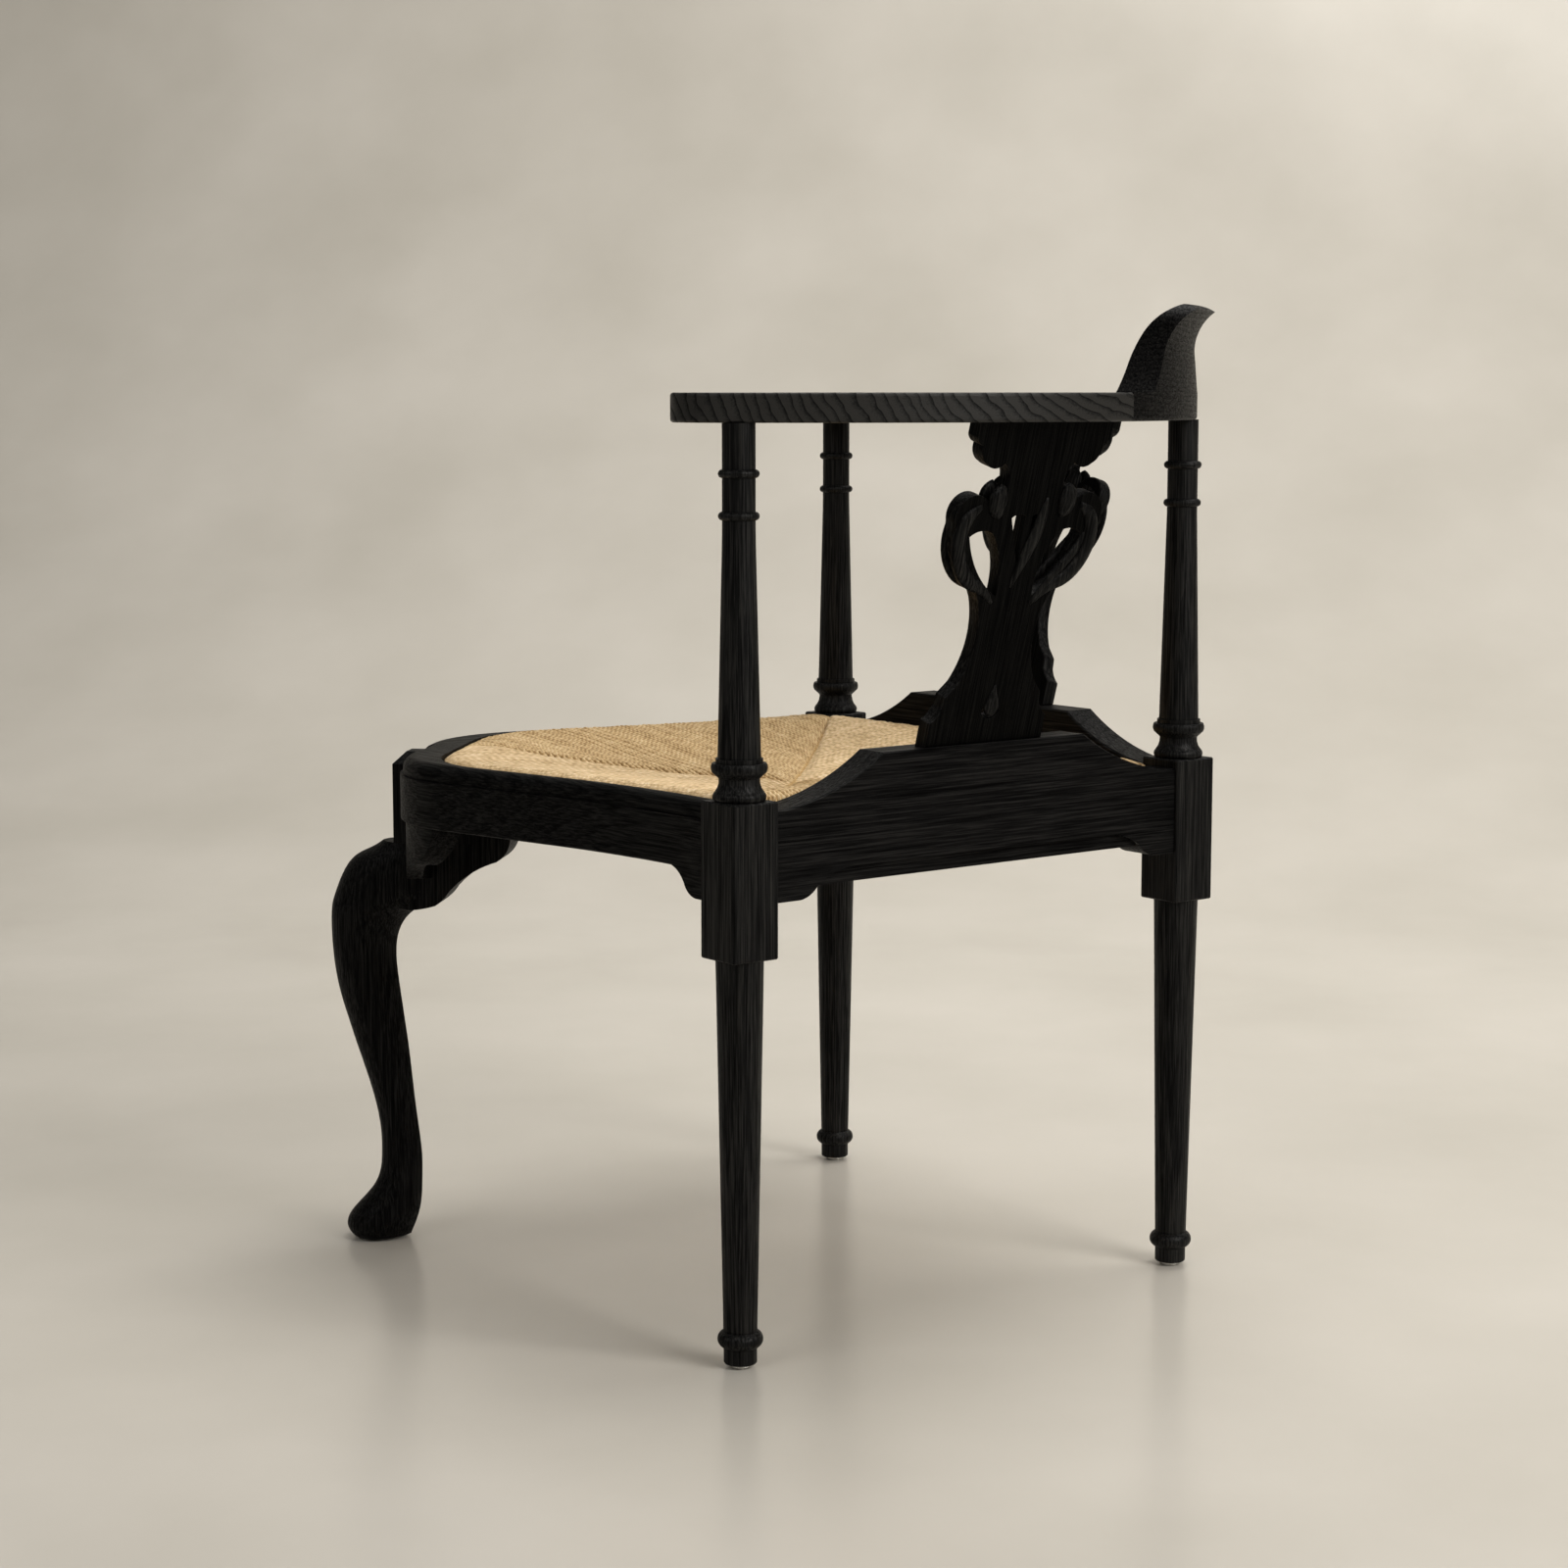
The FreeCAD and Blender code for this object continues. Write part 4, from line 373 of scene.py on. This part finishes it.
def board_place(side):
    """The matrix from a splat's own axes (across, through, up; in metres) to the chair, and half the
    board's thickness."""
    way = SIDES[side]
    out = Vector((way, 1, 0)).normalized()
    up = out * math.sin(SPLAT_LEAN) + Vector((0, 0, math.cos(SPLAT_LEAN)))
    through = out * math.cos(SPLAT_LEAN) - Vector((0, 0, math.sin(SPLAT_LEAN)))
    across = Vector((-way, 1, 0)).normalized()
    spots = [vert.co for vert in nodes[side + "_splat"].data.vertices]
    depths = [spot.dot(through) for spot in spots]
    widths = [spot.dot(across) for spot in spots]
    middle = (min(depths) + max(depths)) / 2
    rise = (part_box(side + "_back_rail")[1].z - through.z * middle) / up.z
    origin = across * (min(widths) + max(widths)) / 2 + through * middle + up * rise
    axes = Matrix((across, through, up)).transposed().to_4x4()
    return Matrix.Translation(origin) @ axes, (max(depths) - min(depths)) / 2


print("splat thickness in mm:", round(2 * board_place("right")[1] / MM, 1))

# %% [markdown]
# ## Carving the splats
# A splat is a pierced board. The carver breaks its edges with a chisel, and that narrow slope is most of
# what the eye gets of such a black piece. A copy of the board is merged into one skin, its flat triangles
# are joined, and every sharp edge is bevelled. The slopes and the board's edges take a lighter, shinier
# finish than the faces: partly rubbed wear, partly painted highlight where the edges catch the light.
# Drawing the outline again would be more work and could drift from the solid.

# %% Chamfered boards
CHAMFER = 2.4 * MM
CHAMFER_STEPS = 2
SHARP = math.radians(35)
FLAT = math.radians(1)
WELD = 0.01 * MM
EDGE_FACING = 0.5   # a face that looks less than this through the board belongs to its edge
RUBBED_LIT = 1          # the number of the lighter finish on the board: rubbed wear and painted highlight


def chamfered_board(side):
    """A splat's board with its sharp edges bevelled, and its edges and slopes in the lighter finish of rubbed
    wear and painted highlight.
    """
    bm = bmesh.new()
    bm.from_mesh(nodes[side + "_splat"].data)
    bmesh.ops.remove_doubles(bm, verts=bm.verts, dist=WELD)
    bmesh.ops.dissolve_limit(bm, angle_limit=FLAT, verts=bm.verts, edges=bm.edges)
    bm.normal_update()
    through = board_place(side)[0].col[1].xyz
    # Faces on the board's edges get the lighter finish: rubbed wear and painted highlight.
    for face in bm.faces:
        if abs(face.normal.dot(through)) < EDGE_FACING:
            face.material_index = RUBBED_LIT
    sharp = [edge for edge in bm.edges if edge.is_manifold and edge.calc_face_angle() > SHARP]
    slopes = bmesh.ops.bevel(bm, geom=sharp, offset=CHAMFER, offset_type="OFFSET", affect="EDGES",
                             segments=CHAMFER_STEPS, profile=0.5, material=-1, clamp_overlap=True)["faces"]
    for face in slopes:
        face.material_index = RUBBED_LIT
    board = bpy.data.meshes.new(side + "_carved_splat")
    bm.to_mesh(board)
    bm.free()
    piece = new_object(side + "_carved_splat", board, splat_ash[side])
    board.materials.append(rubbed_lit_ash[side])
    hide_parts(side + "_splat")
    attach(piece, "chair")
    rubbed_lit = [face for face in board.polygons if face.material_index == RUBBED_LIT]
    print(piece.name, len(board.polygons), "faces,", len(rubbed_lit), "of them rubbed")


for side in SIDES:
    chamfered_board(side)

# %% [markdown]
# ## Straps, scrolls and drops
# On both faces stand low carved forms: a roll along each ear and a curled volute in each notch, and once each
# a strap across a piercing, a leaf up the middle and a drop at the foot. Each is a stroke: a curve whose
# radius swells and fades, as a gouge cut does. It is pressed flat, and its lower half lies inside the board.
# Sculpting could give the same, but a stroke stays a few numbers that can be read and changed.

# %% Strokes
PRESSED = 0.4
STROKE_SIDES = 3
STROKE_STEPS = 5
# Each point is the distance from the middle line, the height up the board and the radius, in mm.
EAR_ROLL = ((22, 118, 1.5), (31, 129, 4), (51, 136, 6.5), (65, 154, 7), (68, 175, 7), (61, 191, 6),
            (50, 196, 2))
VOLUTE = ((30, 188, 3), (34, 191, 7), (36, 199, 9.5), (35, 207, 8), (32, 212, 3))
STRAP = ((18, 116, 2), (31, 133, 4), (47, 149, 4.4), (58, 164, 3.6), (61, 173, 2))
LEAF = ((-6, 130, 1.5), (0, 148, 5), (9, 170, 6.5), (14, 190, 5), (15, 202, 1.5))
FOOT_DROP = ((0, 24, 3), (0, 28, 7.5), (0, 34, 8), (0, 42, 4), (0, 50, 0.6))


def stroke_mesh(strokes):
    """Tubes along the strokes, pressed flat, as one mesh in the board's own axes."""
    curve = bpy.data.curves.new("strokes", "CURVE")
    curve.dimensions = "3D"
    curve.bevel_depth = MM
    curve.bevel_resolution = STROKE_SIDES
    curve.resolution_u = STROKE_STEPS
    curve.use_fill_caps = True
    for stroke in strokes:
        line = curve.splines.new("NURBS")
        line.points.add(len(stroke) - 1)
        for point, (across, up, radius) in zip(line.points, stroke):
            point.co = (across * MM, 0, up * MM, 1)
            point.radius = radius
        line.use_endpoint_u = True
        line.order_u = 3
    holder = bpy.data.objects.new("strokes", curve)
    bpy.context.scene.collection.objects.link(holder)
    shape = bpy.data.meshes.new_from_object(holder.evaluated_get(bpy.context.evaluated_depsgraph_get()))
    bpy.data.objects.remove(holder)
    bpy.data.curves.remove(curve)
    shape.transform(Matrix.Diagonal((1, PRESSED, 1, 1)))
    return shape


strokes = [STRAP, LEAF, FOOT_DROP]
for way in SIDES.values():
    for stroke in (EAR_ROLL, VOLUTE):
        strokes.append([(across * way, up, radius) for across, up, radius in stroke])
stroke_shape = stroke_mesh(strokes)
print(len(strokes), "strokes,", len(stroke_shape.polygons), "faces")

# %% [markdown]
# ## Setting the carving on the boards
# The left splat is the mirror of the right one, and both faces of each are carved. The board's own axes
# already mirror each other, so the same strokes serve four times. Turned tubes can come out inside out, so
# the doubles are merged and the normals are worked out again.

# %% Carving on both faces
for side in SIDES:
    place, half = board_place(side)
    bm = bmesh.new()
    for face in (half, -half):
        layer = stroke_shape.copy()
        layer.transform(place @ Matrix.Translation((0, face, 0)))
        bm.from_mesh(layer)
        bpy.data.meshes.remove(layer)
    bmesh.ops.remove_doubles(bm, verts=bm.verts, dist=WELD)
    bmesh.ops.recalc_face_normals(bm, faces=bm.faces)
    carving = bpy.data.meshes.new(side + "_splat_carving")
    bm.to_mesh(carving)
    bm.free()
    carving.shade_smooth()
    # The carving takes the lighter finish too: rubbed wear and painted highlight.
    piece = new_object(carving.name, carving, rubbed_lit_ash[side])
    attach(piece, "chair")
    print(piece.name, len(carving.polygons), "faces")

# %% [markdown]
# ## Plain beech
# What nobody sees is left bare. The seat frame, corner blocks and dowels are planed beech, which gives the
# eye a dull pinkish brown with short dark flecks. Fine noise, stepped in three tones, is enough for wood that
# shows only when the seat is lifted.

# %% Planed beech
FLECK_LENGTH = 3.0 * MM
BEECH_TONES = [(0.35, "#a87c50"), (0.5, "#c79c6c"), (0.7, "#d2ab7d")]

beech, tree, shader = new_material("planed_beech")
place = add(tree, "TexCoord")
flecks = add(tree, "TexNoise", {"Vector": place.outputs["Object"], "Scale": 1 / FLECK_LENGTH, "Detail": 3.0})
tone = add(tree, "ValToRGB", {"Fac": flecks.outputs["Fac"]}, stops=BEECH_TONES)
tree.links.new(tone.outputs["Color"], shader.inputs["Base Color"])
shader.inputs["Roughness"].default_value = 0.6
seat_rails = [name for name in nodes if name.startswith("seat_") and name.endswith("_rail")]
bare = seat_rails + [name for name in nodes if name.endswith("_corner_block")] + ["crest_dowels"]
dress(beech, *bare)
print(len(bare), "pieces in bare wood")

# %% [markdown]
# ## Straw and steel
# The packing between the two layers of rush is cut straw: dull and dusty, with painted shade for the dark
# gaps between the stalks, which the cells of a Voronoi texture give. Under each foot sits a glide of plated
# steel. It is a small mirror with fine scratches, so only its roughness varies.

# %% Straw and steel
STRAW_WIDTH = 2.5 * MM
# Straw tones; the darker one is painted shade for the gaps between the stalks.
STRAW_AND_GAP_SHADE_TONES = [(0.1, "#8c6c3c"), (0.6, "#b8955c")]
SCRATCH_SIZE = 0.8 * MM
STEEL_ROUGHNESS = (0.15, 0.4)

straw, tree, shader = new_material("cut_straw")
place = add(tree, "TexCoord")
stalks = add(tree, "TexVoronoi", {"Vector": place.outputs["Object"], "Scale": 1 / STRAW_WIDTH})
tone = add(tree, "ValToRGB", {"Fac": stalks.outputs["Distance"]}, stops=STRAW_AND_GAP_SHADE_TONES)
tree.links.new(tone.outputs["Color"], shader.inputs["Base Color"])
shader.inputs["Roughness"].default_value = 0.9
dress(straw, "seat_packing")

steel, tree, shader = new_material("plated_steel")
place = add(tree, "TexCoord")
scratches = add(tree, "TexNoise", {"Vector": place.outputs["Object"], "Scale": 1 / SCRATCH_SIZE})
wear = add(tree, "MapRange", {
    "Value": scratches.outputs["Fac"], "To Min": STEEL_ROUGHNESS[0], "To Max": STEEL_ROUGHNESS[1]})
tree.links.new(wear.outputs["Result"], shader.inputs["Roughness"])
shader.inputs["Base Color"].default_value = linear("#c9c7c2")
shader.inputs["Metallic"].default_value = 1.0
glides = [name for name in nodes if name.endswith("_glide")]
dress(steel, *glides)
print("packing in straw,", len(glides), "glides in steel")

# %% [markdown]
# ## Measuring the solid seat
# Rush is twisted into one long cord and wound round the seat frame, from the corners to the middle. The
# plain solid seat in the frame has the right dish and edge, so we let rays find them: one from above for the
# height, one from outside for the edge. Typed sizes would have to be changed with every change of the solid.

# %% Height and edge of the seat
SEARCH = 0.5                 # rays start this far off
CORNER_SINK = 6.0 * MM       # the first turns, at the back corner, lie flat on the frame
CORNER_REACH = 110 * MM

skin = BVHTree.FromObject(nodes["rush_seat"], bpy.context.evaluated_depsgraph_get())
seat_low, seat_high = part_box("rush_seat")
post_low, post_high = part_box("right_post")
SEAT_MIDDLE = Vector((0, (post_low.y + post_high.y) / 2, 0))
HALF_SEAT = (post_low.x + post_high.x) / 2 * math.sqrt(0.5)
back_low, back_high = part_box("back_post")
BACK_CORNER = (back_low.y + back_high.y) / 2


def seat_height(spot):
    """Height of the strands' tops over a place in plan: that of the solid seat, less the corner's sink."""
    hit = skin.ray_cast(Vector((spot.x, spot.y, SEARCH)), Vector((0, 0, -1)))[0]
    nearness = max(0, 1 - math.hypot(spot.x, spot.y - BACK_CORNER) / CORNER_REACH)
    return hit.z - CORNER_SINK * math.sqrt(nearness)


def seat_edge(foot, outward):
    """How far out from its foot a strand meets the solid seat's edge."""
    start = foot + outward * SEARCH
    start.z = (seat_low.z + seat_high.z) / 2
    hit = skin.ray_cast(start, -outward)[0]
    return (hit - foot).dot(outward) if hit else 0


print("seat height in the middle in mm:", round(seat_height(SEAT_MIDDLE) / MM))

# %% [markdown]
# ## The line of one strand
# On top, the strands of each side run straight in from their rail and meet the next side's along a diagonal,
# where they dive down. One cord along its whole route would be hidden for most of its length, so each strand
# is a tube of its own: up from the diagonal, over the rim, down the edge and back underneath.

# %% Points of a strand
STRAND_RADIUS = 2.3 * MM
VALLEY_GAP = 1.0 * MM
VALLEY_SINK = 4.0 * MM
RIM = 10 * MM
RIM_TUCK = 1.4               # the rim's point lies this many radii in from the edge
RIM_DROP = 1.2               # and this many below the top
SHORTEST = 7 * MM
REACH_SHARES = (0.0, 0.1, 0.4, 0.7, 1.0)


def strand_points(offset, outward):
    """The line of one strand, from the diagonal over the rim and back underneath."""
    along = Vector((-outward.y, outward.x, 0))
    foot = SEAT_MIDDLE + along * offset
    edge = seat_edge(foot, outward)
    inner = abs(offset) + VALLEY_GAP
    if edge - inner < SHORTEST:
        return []
    top_reach = max(edge - RIM, inner)
    points = []
    for share in REACH_SHARES:
        spot = foot + outward * (inner + (top_reach - inner) * share)
        points.append(Vector((spot.x, spot.y, seat_height(spot) - STRAND_RADIUS)))
    points[0].z -= VALLEY_SINK
    low = seat_low.z + STRAND_RADIUS
    rim = foot + outward * (edge - STRAND_RADIUS * RIM_TUCK)
    wall = foot + outward * (edge - STRAND_RADIUS)
    under = foot + outward * (edge - RIM)
    last = foot + outward * inner
    points.append(Vector((rim.x, rim.y, seat_height(rim) - STRAND_RADIUS * RIM_DROP)))
    points.append(Vector((wall.x, wall.y, seat_high.z - RIM)))
    points.append(Vector((wall.x, wall.y, low + RIM / 2)))
    points.append(Vector((under.x, under.y, low)))
    points.append(Vector((last.x, last.y, low)))
    return points


print("a strand through the middle has", len(strand_points(0, Vector((1, 1, 0)).normalized())), "points")

# %% [markdown]
# ## Winding one side
# A hand-twisted cord is never quite even. Each strand gets its own thickness and lies a little higher or
# lower than its neighbour, with draws from a seeded list, so that the seat comes out the same every time.
# One curve with a round bevel holds all the strands of a side, which is lighter than a tube mesh for each.

# %% Strands of one side
STRAND_PITCH = 4.3 * MM
VALLEY_RADII = (0.6, 0.82)           # a strand thins where it dives, as shares of its radius
STRAND_THICKNESS = (0.93, 1.07)
LOCAL_THICKNESS = (0.96, 1.04)
LIFT_MM = (-0.35, 0.2)
chance = random.Random(7)


def wind_side(name, outward):
    """A curve that holds the strands of one side of the seat."""
    curve = bpy.data.curves.new(name, "CURVE")
    curve.dimensions = "3D"
    curve.bevel_depth = STRAND_RADIUS
    curve.bevel_resolution = 1
    curve.use_fill_caps = True
    count = int(2 * HALF_SEAT / STRAND_PITCH)
    for number in range(count):
        points = strand_points((number - (count - 1) / 2) * STRAND_PITCH, outward)
        if not points:
            continue
        line = curve.splines.new("POLY")
        line.points.add(len(points) - 1)
        thickness = chance.uniform(*STRAND_THICKNESS)
        lift = chance.uniform(*LIFT_MM) * MM
        for point, place in zip(line.points, points):
            point.co = (place.x, place.y, place.z + lift, 1)
            point.radius = thickness * chance.uniform(*LOCAL_THICKNESS)
        for point, share in zip(line.points, VALLEY_RADII):
            point.radius *= share
    return curve


print("up to", int(2 * HALF_SEAT / STRAND_PITCH), "strands to a side")

# %% [markdown]
# ## The look of rush
# Rush is a dried marsh plant: straw-gold, a little greenish and satin. Two or three stems are twisted into
# each strand, which leaves slanting grooves about 7 mm apart, and no two strands have the same tone. Both
# come from the place on the seat: the number of the strand picks its tone, and a slanting wave cuts the
# grooves. Two of the four sides run one way and two the other, so there are two turned versions. Stems laid
# towards the lamp look paler than stems laid across its light, and each version has that painted into its
# tones: paler painted-lit tones for two sides, darker painted-shade tones for the other two.

# %% Twisted rush
TWIST_LENGTH = 7.0 * MM
STEM_MARKS = 9.0 * MM
GROOVE_DEPTH = 0.4 * MM
GROOVE_SHADE = 0.16          # how much darker a groove is
STRAND_SHADE = 0.2           # how far the strands' tones differ
RUSH_STEPS = (0.3, 0.55, 0.8, 1.0)
# Painted shade and painted light: darker tones for two sides of the seat, paler ones for the other two.
PAINTED_SHADE_RUSH = ("#9e7e4d", "#c0a070", "#d3b788", "#dfc89f")
PAINTED_LIT_RUSH = ("#ab8d60", "#cbae80", "#ddc298", "#e8d2af")


def twisted_rush(name, turn, tones):
    """Rush strands that run along the turned X axis, side by side along the turned Y axis, in tones that
    carry painted light or painted shade.
    """
    material, tree, shader = new_material("twisted_rush_" + name)
    place = add(tree, "TexCoord")
    middle = add(tree, "VectorMath", {0: place.outputs["Object"], 1: SEAT_MIDDLE}, operation="SUBTRACT")
    laid = add(tree, "Mapping", {"Vector": middle.outputs[0], "Rotation": (0, 0, math.radians(turn))})
    axes = add(tree, "SeparateXYZ", {"Vector": laid.outputs["Vector"]})
    across = add(tree, "Math", {0: axes.outputs["Y"], 1: 1 / STRAND_PITCH, 2: 0.5}, operation="MULTIPLY_ADD")
    number = add(tree, "Math", {0: across.outputs[0]}, operation="FLOOR")
    own_tone = add(tree, "TexWhiteNoise", {"W": number.outputs[0]}, noise_dimensions="1D").outputs["Value"]
    run = add(tree, "Math", {0: axes.outputs["X"], 1: axes.outputs["Z"]}, operation="SUBTRACT")
    turns = add(tree, "Math", {0: run.outputs[0], 1: 1 / TWIST_LENGTH, 2: own_tone}, operation="MULTIPLY_ADD")
    slant = add(tree, "Math", {0: across.outputs[0], 1: turns.outputs[0]}, operation="ADD")
    around = add(tree, "Math", {0: slant.outputs[0], 1: 2 * math.pi}, operation="MULTIPLY")
    groove = add(tree, "Math", {0: around.outputs[0]}, operation="SINE").outputs[0]
    stem = add(tree, "TexNoise", {"Vector": laid.outputs["Vector"], "Scale": 1 / STEM_MARKS, "Detail": 4.0})
    mixed = add(tree, "Math", {0: own_tone, 1: STRAND_SHADE, 2: stem.outputs["Fac"]},
                operation="MULTIPLY_ADD")
    shaded = add(tree, "Math", {0: groove, 1: GROOVE_SHADE, 2: mixed.outputs[0]}, operation="MULTIPLY_ADD")
    tone = add(tree, "ValToRGB", {"Fac": shaded.outputs[0]}, stops=list(zip(RUSH_STEPS, tones)))
    relief = add(tree, "Bump", {"Height": groove, "Strength": 0.5, "Distance": GROOVE_DEPTH})
    tree.links.new(tone.outputs["Color"], shader.inputs["Base Color"])
    tree.links.new(relief.outputs["Normal"], shader.inputs["Normal"])
    shader.inputs["Roughness"].default_value = 0.62
    return material


rush_lit_and_shaded = [twisted_rush("rising_painted_shade", -45, PAINTED_SHADE_RUSH), twisted_rush("falling_painted_lit", 45, PAINTED_LIT_RUSH)]
print("rush looks:", [material.name for material in rush_lit_and_shaded])

# %% [markdown]
# ## Winding the four sides
# Each side's curve becomes a mesh, and one bmesh gathers the four. The strands ride with the loose seat, so
# they lift out of the rails with it, and they stand in for the plain solid.

# %% The woven seat
strand_count = 0
bm = bmesh.new()
for corner in range(4):
    angle = math.radians(45 + 90 * corner)
    curve = wind_side(f"rush_side_{corner}", Vector((math.cos(angle), math.sin(angle), 0)))
    strand_count += len(curve.splines)
    holder = bpy.data.objects.new(curve.name, curve)
    bpy.context.scene.collection.objects.link(holder)
    strands = bpy.data.meshes.new_from_object(holder.evaluated_get(bpy.context.evaluated_depsgraph_get()))
    first = len(bm.faces)
    bm.from_mesh(strands)
    bm.faces.ensure_lookup_table()
    for face in bm.faces[first:]:
        # Every other side gets the paler painted-lit tones, the rest the darker painted-shade tones.
        face.material_index = corner % 2
    bpy.data.objects.remove(holder)
    bpy.data.meshes.remove(strands)
    bpy.data.curves.remove(curve)
rush = bpy.data.meshes.new("woven_rush")
bm.to_mesh(rush)
bm.free()
rush.shade_smooth()
seat = new_object("woven_rush", rush, rush_lit_and_shaded[0])
rush.materials.append(rush_lit_and_shaded[1])
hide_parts("rush_seat")
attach(seat, "seat")
print("rush:", strand_count, "strands,", len(rush.polygons), "faces")
